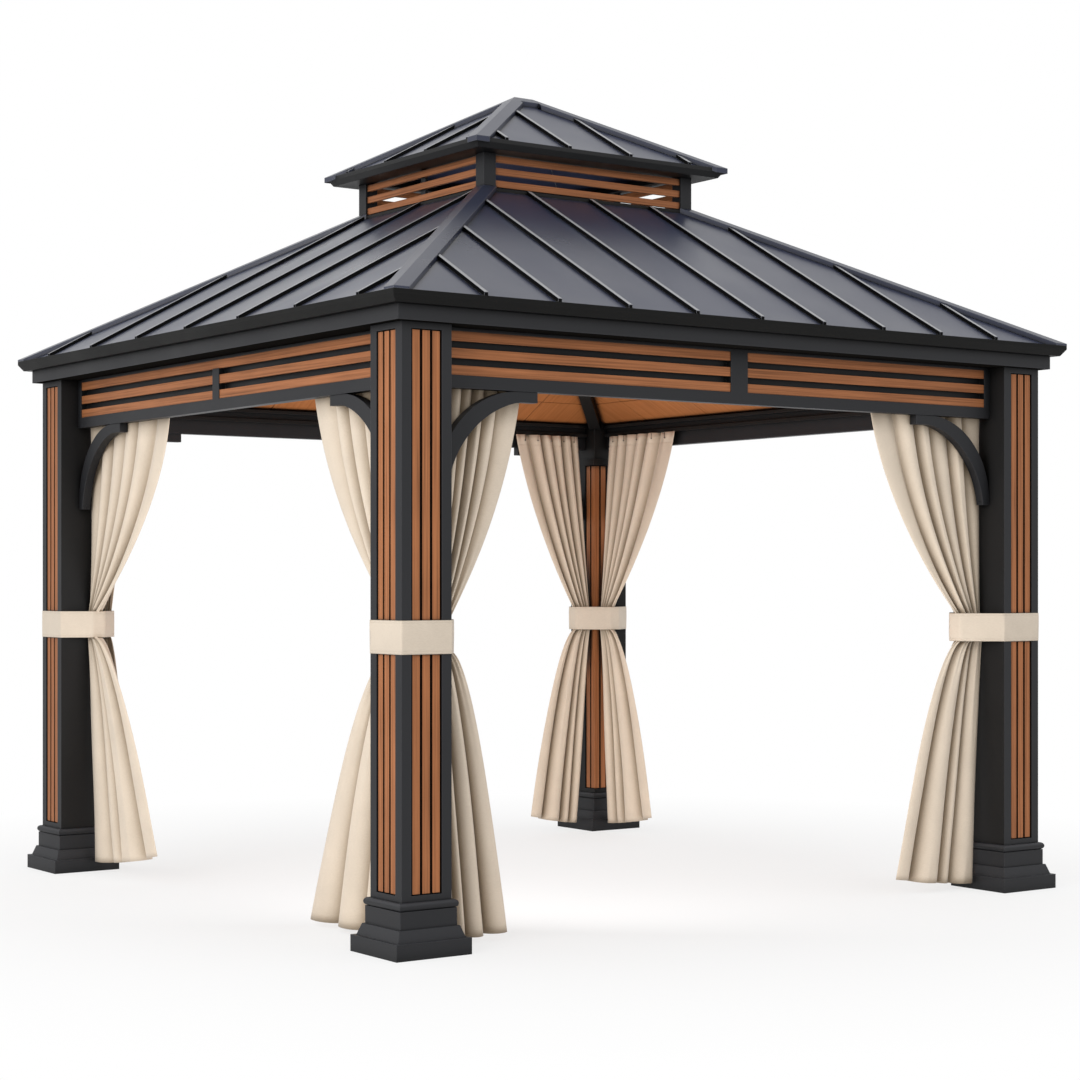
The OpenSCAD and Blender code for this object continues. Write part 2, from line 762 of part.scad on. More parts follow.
module upper_roof() {
    hip_gap = cap_half_w * sqrt(2) + slip;
    rib_u = upper_roof_u - rib_end;
    color(SHEET) for (i = [0 : 3]) {
        mitred_run(i, ridge_u + mitre, upper_roof_u, upper_eave_z - sheet_v - cut, ridge_z + cut, mitre)
            strip(upper_roof_u, ridge_u, upper_eave_z, ridge_z, -sheet_v, 0);
        intersection() {
            for (x = rib_places(side_len(i) / 2 + rib_u - hip_gap - rib_w, upper_rib_pitch, false))
                on_side(i)
                    translate([x, -side_off(i), 0])
                        rotate([90, 0, -90])
                            linear_extrude(height = rib_w, center = true)
                                strip(rib_u, ridge_u, upper_roof_z(rib_u), ridge_z, -sheet_v / 2, rib_v);
            on_side(i)
                translate([0, 0, cupola_z1])
                    linear_extrude(height = ridge_z)
                        polygon(side_plan(i, ridge_u + cap_half_w + slip, rib_u, hip_gap));
        }
    }
}

// Quarter of the plan at corner k, clear of the ridge and of the next quarter
module hip_quarter(k, z0, z1) {
    s = CORNERS[k];
    reach = upper_u + upper_cap_proud - ridge_u - mitre;
    mirror([s[0] < 0 ? 1 : 0, 0, 0])
        mirror([0, s[1] < 0 ? 1 : 0, 0])
            translate([bay_x / 2 + ridge_u + mitre, bay_y / 2 + ridge_u + mitre, z0])
                cube([reach, reach, z1 - z0]);
}

module upper_caps() {
    start_u = upper_u + upper_cap_proud + cap_half_w;
    cap_v = cap_h / cos(hip_angle);
    side_z = ridge_z - slope * cap_half_w;
    color(SHEET) {
        for (k = [0 : 3])
            difference() {
                intersection() {
                    hip_bar(k, start_u, upper_roof_z(start_u), ridge_u - cap_half_w) hip_cap_profile();
                    hip_quarter(k, cupola_z1, ridge_z + 2 * cap_h);
                }
                lip_room(upper_roof_u, upper_u + slip, cupola_z1 - cut, upper_z1);
            }
        if (ridge_len > 0)
            rotate([90, 0, bay_x > bay_y ? 90 : 0])
                linear_extrude(height = ridge_len, center = true)
                    polygon([
                        [0, ridge_z], [cap_half_w, side_z], [cap_half_w, side_z + cap_v],
                        [0, ridge_z + cap_v], [-cap_half_w, side_z + cap_v], [-cap_half_w, side_z]
                    ]);
    }
}

// Part of the way from the tie band to the heading or to the hem
function above_tie(z) = max(0, (z - tie_z1) / (curtain_top - tie_z1));
function below_tie(z) = max(0, (tie_z0 - z) / (tie_z0 - hem_clear));
// Reach of the tied curtains beside the post at corner k
function tied_waist(k) = waist * waist_shares[k];
// Distances of the two edges of a curtain from the post face, and the depth of its pleats
function near_edge(z) =
    soft_clear + above_tie(z) * heading_gap + below_tie(z) * (plinth_proud + hem_side);
function far_edge(z, reach) =
    let(up = above_tie(z), down = below_tie(z), tied = reach[1])
    tied + (reach[0] - tied) * up * (1 + hang_share * (1 - up)) + (reach[2] - tied) * pow(down, flare_share);
function pleat_depth(z) =
    waist_d + above_tie(z) * (heading_d - waist_d) + below_tie(z) * (hem_d - waist_d);

// Pleated cloth at one height, as a zigzag out from the post and back at its other face
function curtain_ring(z, reach) =
    let(folds = 2 * pleat_count, near = near_edge(z), far = far_edge(z, reach))
    let(step = (far - near) / folds, deep = pleat_depth(z) - cloth_t)
    let(line = [for (j = [0 : folds]) [post_w / 2 + near + j * step, curtain_in + (j % 2) * deep, z]])
    concat(line, [for (j = [folds : -1 : 0]) line[j] + [0, cloth_t, 0]]);

// Curtain that spreads along +X, lofted from its hem through the tie band to its heading. Both faces
// of the cloth bend along the same diagonals, so the cloth keeps its thickness. Its reaches are those
// at the heading, in the tie band and at the hem.
module curtain(reach) {
    rings = [for (z = curtain_heights) curtain_ring(z, reach)];
    n = len(rings[0]);
    top = (len(rings) - 1) * n;
    sides = [
        for (r = [0 : len(rings) - 2], j = [0 : n - 1])
            let(a = r * n + j, b = r * n + (j + 1) % n)
            each j < n / 2
                ? [[a, b + n, b], [a, a + n, b + n]]
                : [[a, a + n, b], [b, a + n, b + n]]
    ];
    caps = [
        for (j = [0 : n / 2 - 2])
            each [[j, j + 1, n - 2 - j, n - 1 - j], [top + n - 1 - j, top + n - 2 - j, top + j + 1, top + j]]
    ];
    polyhedron(points = [for (ring = rings) each ring], faces = concat(sides, caps));
}

module curtains(k) {
    color(CLOTH) at_corner(k) {
        curtain([spread_x * spread_x_shares[k], tied_waist(k), hem_x * hem_x_shares[k]]);
        mirror([1, -1, 0])
            curtain([spread_y * spread_y_shares[k], tied_waist(k), hem_y * hem_y_shares[k]]);
    }
}

// Outline of the post and both gathered curtains, which the tie band goes round
module tied_outline(k) {
    h = post_w / 2;
    far = h + tied_waist(k);
    inner = curtain_in;
    outer = curtain_in + waist_d;
    polygon([[-h, -h], [h, -h], [far, inner], [far, outer], [outer, far], [inner, far], [-h, h]]);
}

module tie(k) {
    color(BAND) at_corner(k) translate([0, 0, tie_z0])
        linear_extrude(height = tie_h) difference() {
            offset(delta = tie_t + soft_clear) tied_outline(k);
            offset(delta = soft_clear) tied_outline(k);
        }
}

for (k = [0 : 3]) {
    plinth(k);
    post(k);
    post_slats(k);
    curtains(k);
    tie(k);
}
for (i = [0 : 3]) {
    frieze(i);
    frieze_slats(i);
    brackets(i);
    roof_sheet(i);
}
foot_plates();
eave_fascia();
gutters();
curtain_tracks();
hip_caps();
ceiling_boards();
ceiling_ledgers();
hip_rafters();
cupola_curb();
cupola_posts();
cupola_louvres();
upper_eave();
upper_roof();
upper_caps();
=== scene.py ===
"""Looks of a hardtop garden gazebo: finishes, curtains, tie bands, ceiling panels and fittings.

Metres, +Z up, origin on the ground at the centre of the plan, the front at -Y. Every piece is
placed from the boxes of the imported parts.
"""

import logging
import math
from dataclasses import dataclass
from enum import Enum
from typing import Sequence

import bpy
import numpy as np
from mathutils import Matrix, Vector


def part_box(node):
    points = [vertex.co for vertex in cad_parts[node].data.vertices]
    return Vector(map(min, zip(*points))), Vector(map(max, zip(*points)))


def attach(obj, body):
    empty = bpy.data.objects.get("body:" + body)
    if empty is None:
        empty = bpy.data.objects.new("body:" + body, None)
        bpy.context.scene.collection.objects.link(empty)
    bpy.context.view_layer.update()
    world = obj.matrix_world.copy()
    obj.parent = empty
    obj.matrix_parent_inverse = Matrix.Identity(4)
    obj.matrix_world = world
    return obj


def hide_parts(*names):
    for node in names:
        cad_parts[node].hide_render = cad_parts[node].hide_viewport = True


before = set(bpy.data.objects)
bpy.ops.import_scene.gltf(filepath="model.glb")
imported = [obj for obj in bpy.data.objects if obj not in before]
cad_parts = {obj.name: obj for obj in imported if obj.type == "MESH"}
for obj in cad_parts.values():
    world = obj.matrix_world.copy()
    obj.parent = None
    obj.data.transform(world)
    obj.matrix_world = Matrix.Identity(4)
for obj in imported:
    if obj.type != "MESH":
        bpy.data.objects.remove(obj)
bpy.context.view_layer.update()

BODY = "root"
PANEL_MAP = "grain"
ROOF_NODES = ("roof_front", "roof_right", "roof_back", "roof_left", "upper_roof")
LOG = logging.getLogger("gazebo")
PLAIN = (1.0, 1.0, 1.0)
WAVE_TURNS = 6.3
TINY = 1e-6

Rgb = tuple[float, float, float]
Point = tuple[float, float, float]
Socket = bpy.types.NodeSocket


class Corner(Enum):
    """Corners of the plan, with the signs of their place."""

    FRONT_LEFT = ("front_left", -1, -1)
    FRONT_RIGHT = ("front_right", 1, -1)
    BACK_RIGHT = ("back_right", 1, 1)
    BACK_LEFT = ("back_left", -1, 1)

    @property
    def label(self) -> str:
        """Name of the corner in the names of its parts."""
        return self.value[0]

    @property
    def sign(self) -> tuple[int, int]:
        """Signs of the corner's x and y."""
        return self.value[1], self.value[2]


class Side(Enum):
    """Sides of the plan, with the direction that looks out of each."""

    FRONT = ("front", 0, -1)
    RIGHT = ("right", 1, 0)
    BACK = ("back", 0, 1)
    LEFT = ("left", -1, 0)

    @property
    def label(self) -> str:
        """Name of the side in the names of its parts."""
        return self.value[0]

    @property
    def out(self) -> np.ndarray:
        """Unit vector that looks out of the side, in plan."""
        return np.array(self.value[1:], float)

    @property
    def along(self) -> np.ndarray:
        """Unit vector along the side, to the right for someone who looks at it from outside."""
        return np.array((-self.value[2], self.value[1]), float)

    @property
    def axis(self) -> int:
        """Axis that the side looks along: 0 for X and 1 for Y."""
        return 0 if self.value[1] else 1


class Run(Enum):
    """Direction in which a curtain is drawn."""

    FRONT_BACK = 0
    SIDES = 1


class Grain(Enum):
    """How the grain of a board runs: the stretch of the pattern along X, Y and Z."""

    UPRIGHT = (190.0, 190.0, 2.2)
    LEVEL = (2.2, 2.2, 190.0)
    PANEL = (60.0, 1.5, 1.0)


class NodeBench:
    """Work bench for the nodes of one material."""

    SHARP, FLAT = 0.78, 0.985
    UPRIGHT, LEVEL = 0.12, 0.75
    EDGE_SAMPLES, GAP_SAMPLES = 4, 6

    def __init__(self, name: str) -> None:
        """Starts a material.

        Args:
            name: Name of the material.
        """
        self.material = bpy.data.materials.new(name)
        self.material.use_nodes = True
        self.nodes = self.material.node_tree.nodes
        self.links = self.material.node_tree.links
        self.shader = self.nodes["Principled BSDF"]

    def add(self, kind: str, inputs: dict | None = None, **settings: object) -> bpy.types.Node:
        """Adds a node.

        Args:
            kind: Blender's name for the kind of node.
            inputs: Values or sockets for its inputs, by name or number.
            **settings: Values of the node's own settings.

        Returns:
            The new node.
        """
        node = self.nodes.new(kind)
        for key, value in settings.items():
            setattr(node, key, value)
        for key, value in (inputs or {}).items():
            if isinstance(value, Socket):
                self.links.new(value, node.inputs[key])
            else:
                node.inputs[key].default_value = value
        return node

    def place(self, stretch: Sequence[float] = (1.0, 1.0, 1.0), laid: bool = False) -> Socket:
        """Gives the place on the object in metres.

        Args:
            stretch: Factors on X, Y and Z.
            laid: Whether the place is read along the panels that are laid out on the object.

        Returns:
            The socket with the stretched place.
        """
        if laid:
            where = self.add("ShaderNodeUVMap", uv_map=PANEL_MAP).outputs["UV"]
        else:
            where = self.add("ShaderNodeTexCoord").outputs["Object"]
        return self.add("ShaderNodeMapping", {"Vector": where, "Scale": tuple(stretch)}).outputs[0]

    def rounded(self, radius: float) -> Socket:
        """Gives the surface normal with edges rounded to a radius in metres."""
        return self.add("ShaderNodeBevel", {"Radius": radius}, samples=self.EDGE_SAMPLES).outputs[0]

    def edges(self, round_normal: Socket, most: float) -> Socket:
        """Finds the edges, for painted highlights.

        Args:
            round_normal: Socket with the normal of the rounded edges.
            most: Result at a sharp edge.

        Returns:
            The socket with 0 on flat faces and more at edges.
        """
        flat_normal = self.add("ShaderNodeNewGeometry").outputs["Normal"]
        normals = {0: round_normal, 1: flat_normal}
        same = self.add("ShaderNodeVectorMath", normals, operation="DOT_PRODUCT").outputs["Value"]
        return self.span(same, most, 0.0, self.SHARP, self.FLAT)

    def upward(self, normal: Socket) -> Socket:
        """Gives 0 on upright faces and 1 on level ones that look up, as a mask for painted light.
        """
        rise = self.add("ShaderNodeSeparateXYZ", {0: normal}).outputs["Z"]
        return self.span(rise, 0.0, 1.0, self.UPRIGHT, self.LEVEL)

    def painted_shade_mask(self, reach: float, share: Sequence[float]) -> Socket:
        """Masks painted shade: 1 in gaps, 0 on open faces, by the open shares within a reach in
        metres.
        """
        seen = self.add("ShaderNodeAmbientOcclusion", {"Distance": reach}, samples=self.GAP_SAMPLES)
        return self.span(seen.outputs["AO"], 1.0, 0.0, *share)

    def noise(self, where: Socket, scale: float, detail: float = 2.0) -> Socket:
        """Gives soft noise from 0 to 1, by the bumps in a metre and the octaves of finer noise."""
        inputs = {"Vector": where, "Scale": scale, "Detail": detail}
        return self.add("ShaderNodeTexNoise", inputs).outputs["Fac"]

    def span(self, value: Socket, low: float, high: float, start: float = 0.3,
             end: float = 0.7) -> Socket:
        """Maps a value from start and end to low and high."""
        inputs = {"Value": value, "From Min": start, "From Max": end, "To Min": low, "To Max": high}
        return self.add("ShaderNodeMapRange", inputs).outputs["Result"]

    def ramp(self, value: Socket, stops: Sequence[tuple[float, Rgb]]) -> Socket:
        """Maps a value to colours.

        Args:
            value: Socket with the value.
            stops: Places from 0 to 1 and their colours.

        Returns:
            The socket with the colour.
        """
        node = self.add("ShaderNodeValToRGB", {"Fac": value})
        while len(node.color_ramp.elements) < len(stops):
            node.color_ramp.elements.new(1.0)
        for element, (at, colour) in zip(node.color_ramp.elements, stops):
            element.position = at
            element.color = opaque(colour)
        return node.outputs["Color"]

    def blend(self, share: Socket | float, first: object, second: object,
              mode: str = "MIX") -> Socket:
        """Mixes two sockets or colours by the share of the second."""
        inputs = {"Factor": share, 6: first, 7: second}
        return self.add("ShaderNodeMix", inputs, data_type="RGBA", blend_type=mode).outputs[2]

    def bump(self, height: Socket, depth: float, under: Socket | None = None) -> Socket:
        """Turns a height into a surface normal.

        Args:
            height: Socket with the height from 0 to 1.
            depth: Depth in metres.
            under: Normal of a coarser relief below.

        Returns:
            The socket with the normal.
        """
        inputs = {"Height": height, "Strength": 1.0, "Distance": depth}
        if under is not None:
            inputs["Normal"] = under
        return self.add("ShaderNodeBump", inputs).outputs["Normal"]

    def set(self, **inputs: object) -> bpy.types.Material:
        """Sets inputs of the shader.

        Args:
            **inputs: Values or sockets, with _ for the blanks in their names.

        Returns:
            The material.
        """
        for key, value in inputs.items():
            socket = self.shader.inputs[key.replace("_", " ")]
            if isinstance(value, Socket):
                self.links.new(value, socket)
            else:
                socket.default_value = value
        return self.material


def opaque(colour: Rgb) -> tuple[float, float, float, float]:
    """Gives a colour with full cover."""
    return (*colour, 1.0)


def shade(colour: Rgb, factor: float) -> Rgb:
    """Makes a linear colour darker or lighter."""
    return tuple(min(1.0, part * factor) for part in colour)


@dataclass(frozen=True)
class PowderCoat:
    """Fine textured powder coat on metal, cloudy, with painted edge highlights, top light and gap
    shade.
    """

    name: str
    colour: Rgb
    roughness: float = 0.5
    specular: float = 0.22
    mottle: float = 0.10
    cloud_scale: float = 2.6
    # Painted highlight: tone factor on the edges.
    edge: float = 3.2
    edge_highlight_share: float = 0.8
    # Painted light from above: tone factor on faces that look up.
    pale: float = 2.1
    edge_width: float = 0.0045
    # Painted shade in gaps: reach in metres, open shares and tone factor.
    gap_shade_reach: float = 0.06
    gap_shade_share: tuple[float, float] = (0.38, 0.88)
    gap_shade_tone: float = 0.15
    grain_scale: float = 700.0
    grain_depth: float = 0.00008
    metallic: float = 0.0

    def material(self) -> bpy.types.Material:
        """Makes the material.

        Returns:
            The material.
        """
        bench = NodeBench(self.name)
        where = bench.place()
        cloud = bench.noise(where, self.cloud_scale, 4.0)
        grain = bench.noise(where, self.grain_scale, 2.0)
        round_normal = bench.rounded(self.edge_width)
        dark, light = shade(self.colour, 1 - self.mottle), shade(self.colour, 1 + self.mottle)
        full = bench.ramp(cloud, [(0.25, dark), (0.75, light)])
        # Painted highlights on the edges, painted light on faces that look up, painted shade in
        # gaps.
        for share, tone in ((bench.edges(round_normal, self.edge_highlight_share), self.edge),
                            (bench.upward(round_normal), self.pale),
                            (bench.painted_shade_mask(self.gap_shade_reach, self.gap_shade_share), self.gap_shade_tone)):
            full = bench.blend(share, full, opaque(shade(self.colour, tone)))
        rough = bench.span(cloud, self.roughness - 0.05, self.roughness + 0.07)
        return bench.set(Base_Color=full, Roughness=rough, Metallic=self.metallic,
                         Normal=bench.bump(grain, self.grain_depth, round_normal),
                         Specular_IOR_Level=self.specular)


@dataclass(frozen=True)
class RoofCoat:
    """Satin polyester coat on roof sheet, with faint rolling waves, painted edge highlights and
    painted gap shade.
    """

    name: str
    colour: Rgb
    roughness: float = 0.31
    specular: float = 0.45
    cloud_scale: float = 1.7
    wave_scale: float = 3.2
    wave_depth: float = 0.0008
    speck_scale: float = 420.0
    speck_depth: float = 0.00006
    # Colour of the painted highlights on the edges.
    edge: Rgb = (0.46, 0.47, 0.49)
    edge_highlight_share: float = 0.9
    edge_width: float = 0.005
    # Painted shade in gaps: reach in metres, open shares and tone factor.
    gap_shade_reach: float = 0.025
    gap_shade_share: tuple[float, float] = (0.62, 0.90)
    gap_shade_tone: float = 0.08

    def material(self) -> bpy.types.Material:
        """Makes the material.

        Returns:
            The material.
        """
        bench = NodeBench(self.name)
        where = bench.place()
        cloud = bench.noise(where, self.cloud_scale, 3.0)
        speck = bench.noise(where, self.speck_scale, 2.0)
        stops = [(0.3, shade(self.colour, 0.9)), (0.7, shade(self.colour, 1.1))]
        round_normal = bench.rounded(self.edge_width)
        # Painted highlights on the edges, then painted shade in gaps.
        edges = bench.edges(round_normal, self.edge_highlight_share)
        painted_light = bench.blend(edges, bench.ramp(cloud, stops), opaque(self.edge))
        gap = bench.painted_shade_mask(self.gap_shade_reach, self.gap_shade_share)
        tone = bench.blend(gap, painted_light, opaque(shade(self.colour, self.gap_shade_tone)))
        waves = bench.bump(bench.noise(where, self.wave_scale, 1.0), self.wave_depth, round_normal)
        return bench.set(Base_Color=tone,
                         Roughness=bench.span(cloud, self.roughness - 0.04, self.roughness + 0.06),
                         Normal=bench.bump(speck, self.speck_depth, waves),
                         Specular_IOR_Level=self.specular)


@dataclass(frozen=True)
class WoodGrain:
    """Wood-grain print on slats and panels, with painted shade in the gaps."""

    name: str
    colour: Rgb
    grain: Grain
    contrast: float = 0.40
    roughness: float = 0.55
    specular: float = 0.25
    pore_share: float = 0.55
    pore_tone: Rgb = (0.72, 0.66, 0.6)
    pore_depth: float = 0.0002
    cloud_scale: float = 4.5
    cloud_tone: Rgb = (0.88, 0.87, 0.86)
    # Painted shade in gaps: reach in metres, open shares and tone factor.
    gap_shade_reach: float = 0.03
    gap_shade_share: tuple[float, float] = (0.45, 0.90)
    gap_shade_tone: float = 0.02
    edge_width: float = 0.002

    def material(self) -> bpy.types.Material:
        """Makes the material.

        Returns:
            The material.
        """
        bench = NodeBench(self.name)
        where = bench.place(self.grain.value, laid=self.grain is Grain.PANEL)
        streak = bench.noise(where, 1.0, 5.0)
        fine = bench.noise(where, 5.0, 3.0)
        board = bench.noise(bench.place(), self.cloud_scale, 1.0)
        dark = shade(self.colour, 1 - self.contrast)
        light = shade(self.colour, 1 + 0.6 * self.contrast)
        body = bench.ramp(streak, [(0.3, dark), (0.5, self.colour), (0.72, light)])
        pores = bench.ramp(fine, [(0.32, self.pore_tone), (0.46, PLAIN)])
        tone = bench.blend(self.pore_share, body, pores, "MULTIPLY")
        clouds = bench.ramp(board, [(0.3, self.cloud_tone), (0.7, PLAIN)])
        full = bench.blend(1.0, tone, clouds, "MULTIPLY")
        # Painted shade in the gaps.
        gap = bench.painted_shade_mask(self.gap_shade_reach, self.gap_shade_share)
        full = bench.blend(gap, full, opaque(shade(self.colour, self.gap_shade_tone)))
        return bench.set(Base_Color=full,
                         Roughness=bench.span(streak, self.roughness + 0.08, self.roughness - 0.06),
                         Normal=bench.bump(fine, self.pore_depth, bench.rounded(self.edge_width)),
                         Specular_IOR_Level=self.specular)


@dataclass(frozen=True)
class WovenCloth:
    """Plain weave with slubs and a soft sheen, with warm, darker painted shade in the creases."""

    name: str
    colour: Rgb
    # Colour of the painted shade in the creases.
    crease: Rgb = (0.33, 0.25, 0.165)
    crease_shade_reach: float = 0.09
    crease_shade_share: tuple[float, float] = (0.22, 0.97)
    cloud_scale: float = 6.0
    threads: float = 520.0
    thread_depth: float = 0.0002
    slub_stretch: tuple[float, float, float] = (90.0, 90.0, 900.0)
    slub_tone: Rgb = (0.93, 0.925, 0.915)
    sheen: float = 0.25

    def material(self) -> bpy.types.Material:
        """Makes the material.

        Returns:
            The material.
        """
        bench = NodeBench(self.name)
        where = bench.place()
        across, up = (
            bench.add("ShaderNodeTexWave", {"Vector": where, "Scale": self.threads / WAVE_TURNS},
                      bands_direction=direction).outputs["Fac"]
            for direction in ("DIAGONAL", "Z")
        )
        weave = bench.blend(0.5, across, up)
        slubs = bench.noise(bench.place(self.slub_stretch), 1.0, 2.0)
        cloud = bench.noise(where, self.cloud_scale, 3.0)
        stops = [(0.3, shade(self.colour, 0.95)), (0.7, shade(self.colour, 1.04))]
        thread = bench.ramp(slubs, [(0.3, self.slub_tone), (0.6, PLAIN)])
        relief = bench.bump(slubs, self.thread_depth, bench.bump(weave, self.thread_depth))
        tone = bench.blend(1.0, bench.ramp(cloud, stops), thread, "MULTIPLY")
        # Painted shade in the creases.
        painted_light = bench.painted_shade_mask(self.crease_shade_reach, self.crease_shade_share)
        return bench.set(Base_Color=bench.blend(painted_light, tone, opaque(self.crease)),
                         Roughness=bench.span(slubs, 0.92, 0.8), Normal=relief,
                         Sheen_Weight=self.sheen, Sheen_Roughness=0.5)


@dataclass(frozen=True)
class Zinc:
    """Zinc coated steel with crystal spangles."""

    name: str
    colour: Rgb = (0.45, 0.46, 0.48)
    spangles: float = 90.0

    def material(self) -> bpy.types.Material:
        """Makes the material.

        Returns:
            The material.
        """
        bench = NodeBench(self.name)
        inputs = {"Vector": bench.place(), "Scale": self.spangles}
        spangle = bench.add("ShaderNodeTexVoronoi", inputs).outputs["Color"]
        grey = bench.add("ShaderNodeRGBToBW", {0: spangle}).outputs[0]
        stops = [(0.2, shade(self.colour, 0.8)), (0.8, shade(self.colour, 1.2))]
        return bench.set(Base_Color=bench.ramp(grey, stops), Metallic=1.0,
                         Roughness=bench.span(grey, 0.32, 0.5, 0.2, 0.8))


FRAME_COAT = PowderCoat("charcoal_powder_coat", (0.0210, 0.0215, 0.0240))
GUTTER_COAT = PowderCoat("black_gutter_coat", (0.0080, 0.0080, 0.0078), specular=0.09)
EAVE_COAT = PowderCoat("upper_eave_coat", (0.017, 0.0172, 0.0178), specular=0.2)
INNER_COAT = PowderCoat("inner_black_coat", (0.013, 0.0125, 0.0125), specular=0.15)
ROOF_COAT = RoofCoat("slate_roof_coat", (0.030, 0.036, 0.069))
# The edge colour is the colour of the painted highlights on the cap edges.
CAP_COAT = RoofCoat("slate_cap_coat", (0.033, 0.038, 0.066), roughness=0.30, specular=0.3,
                    edge=(0.16, 0.17, 0.19))
# Painted highlight on the rib tops and painted shade on the rib sides.
RIB_TOP_HIGHLIGHT_COAT = RoofCoat("rib_top_painted_highlight_coat", (0.33, 0.335, 0.35), roughness=0.36)
RIB_SIDE_SHADE_COAT = PowderCoat("rib_side_painted_shade_coat", (0.0035, 0.0035, 0.004), roughness=0.5, specular=0.1)
UPRIGHT_SLAT = WoodGrain("upright_slat_grain", (0.385, 0.145, 0.055), Grain.UPRIGHT)
LEVEL_SLAT = WoodGrain("level_slat_grain", (0.385, 0.145, 0.055), Grain.LEVEL)
CEILING_WOOD = WoodGrain("ceiling_panel_grain", (0.47, 0.170, 0.052), Grain.PANEL, contrast=0.16)
CURTAIN_CLOTH = WovenCloth("cream_curtain_cloth", (0.78, 0.665, 0.535))
TIE_CLOTH = WovenCloth("cream_tie_cloth", (0.68, 0.585, 0.475), threads=640.0)
FOOT_ZINC = Zinc("foot_plate_zinc")
SCREW_COAT = PowderCoat("black_screw_coat", (0.02, 0.02, 0.022), roughness=0.3, metallic=0.6)
# Painted shade on the underside of the fascia, with no reflection.
SOFFIT_SHADE_COAT = PowderCoat("soffit_painted_shade_coat", (0.0105, 0.0098, 0.0090), roughness=0.85,
                         specular=0.0)
# Painted shade in the open ends of the roof ribs.
RIB_HOLLOW_SHADE_COAT = PowderCoat("rib_hollow_shade_coat", (0.004, 0.004, 0.0045), roughness=0.7, specular=0.1)


class Workshop:
    """Makes the pieces, and keeps the materials so that each is made once."""

    def __init__(self) -> None:
        """Starts with nothing made."""
        self.made: dict[str, bpy.types.Material] = {}

    def coat(self, finish: object) -> bpy.types.Material:
        """Gives the material of a finish.

        Args:
            finish: One of the finishes above.

        Returns:
            Its material, made once.
        """
        if finish.name not in self.made:
            self.made[finish.name] = finish.material()
        return self.made[finish.name]

    def piece(self, name: str, points: np.ndarray, faces: Sequence[Sequence[int]], finish: object,
              slot: str, smooth: bool = True) -> bpy.types.Object:
        """Makes a mesh that rides on the gazebo.

        Args:
            name: Name of the piece.
            points: Places of its points in metres.
            faces: Numbers of the points round each face.
            finish: Its finish.
            slot: Not used.
            smooth: Whether its faces are shaded as one curved surface.

        Returns:
            The new object.
        """
        mesh = bpy.data.meshes.new(name)
        mesh.from_pydata(np.asarray(points, float).tolist(), [], [list(face) for face in faces])
        mesh.validate()
        mesh.polygons.foreach_set("use_smooth", [smooth] * len(mesh.polygons))
        mesh.materials.append(self.coat(finish))
        piece = bpy.data.objects.new(name, mesh)
        bpy.context.scene.collection.objects.link(piece)
        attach(piece, BODY)
        LOG.info("%s: %d faces", name, len(mesh.polygons))
        return piece

    def joined(self, name: str, store: "MeshStore", finish: object, slot: str,
               smooth: bool = True) -> bpy.types.Object:
        """Makes one piece of the small solids in a store."""
        return self.piece(name, np.array(store.points), store.faces, finish, slot, smooth)

    def cloth(self, name: str, grid: np.ndarray, finish: object, slot: str, thickness: float,
              closed: bool = False, flip: bool = False) -> bpy.types.Object:
        """Makes a piece of cloth from a grid of points.

        Args:
            name: Name of the piece.
            grid: Points by row and column, in metres.
            finish: Its finish.
            slot: The record's material slot.
            thickness: Thickness of the cloth in metres.
            closed: Whether the last column joins the first.
            flip: Whether the faces are turned over.

        Returns:
            The new object.
        """
        rows, columns = grid.shape[:2]
        faces = []
        for low in range(0, (rows - 1) * columns, columns):
            for column in range(columns if closed else columns - 1):
                after = (column + 1) % columns
                face = (low + column, low + after, low + columns + after, low + columns + column)
                faces.append(face[::-1] if flip else face)
        piece = self.piece(name, grid.reshape(-1, 3), faces, finish, slot)
        thick = piece.modifiers.new("cloth", "SOLIDIFY")
        thick.thickness = thickness
        thick.offset = 0.0
        return piece


@dataclass
class MeshStore:
    """Collects small solids for one joined mesh."""

    points: list
    faces: list

    @classmethod
    def empty(cls) -> "MeshStore":
        """Gives a store with nothing in it."""
        return cls([], [])

    def loft(self, rings: Sequence[Sequence[Sequence[float]]]) -> None:
        """Adds a closed solid through rings of points.

        Args:
            rings: Rings with the same count of points, from one end to the other.
        """
        start = len(self.points)
        count = len(rings[0])
        for ring in rings:
            self.points.extend(tuple(point) for point in ring)
        for level in range(len(rings) - 1):
            low = start + level * count
            for n in range(count):
                after = (n + 1) % count
                self.faces.append((low + n, low + after, low + count + after, low + count + n))
        self.faces.append(tuple(range(start + count - 1, start - 1, -1)))
        last = start + (len(rings) - 1) * count
        self.faces.append(tuple(range(last, last + count)))

    def turned(self, base: Sequence[float], axis: Sequence[float],
               profile: Sequence[tuple[float, float]], count: int = 16) -> None:
        """Adds a turned solid, such as a screw head.

        Args:
            base: Middle of its foot.
            axis: Direction in which it stands.
            profile: Heights along the axis and radii there.
            count: Points in each ring.
        """
        up = Vector(axis).normalized()
        side = up.orthogonal().normalized()
        other = up.cross(side)
        turns = [2 * math.pi * n / count for n in range(count)]
        spokes = [side * math.cos(turn) + other * math.sin(turn) for turn in turns]
        self.loft([
            [Vector(base) + up * height + spoke * radius for spoke in spokes]
            for height, radius in profile
        ])


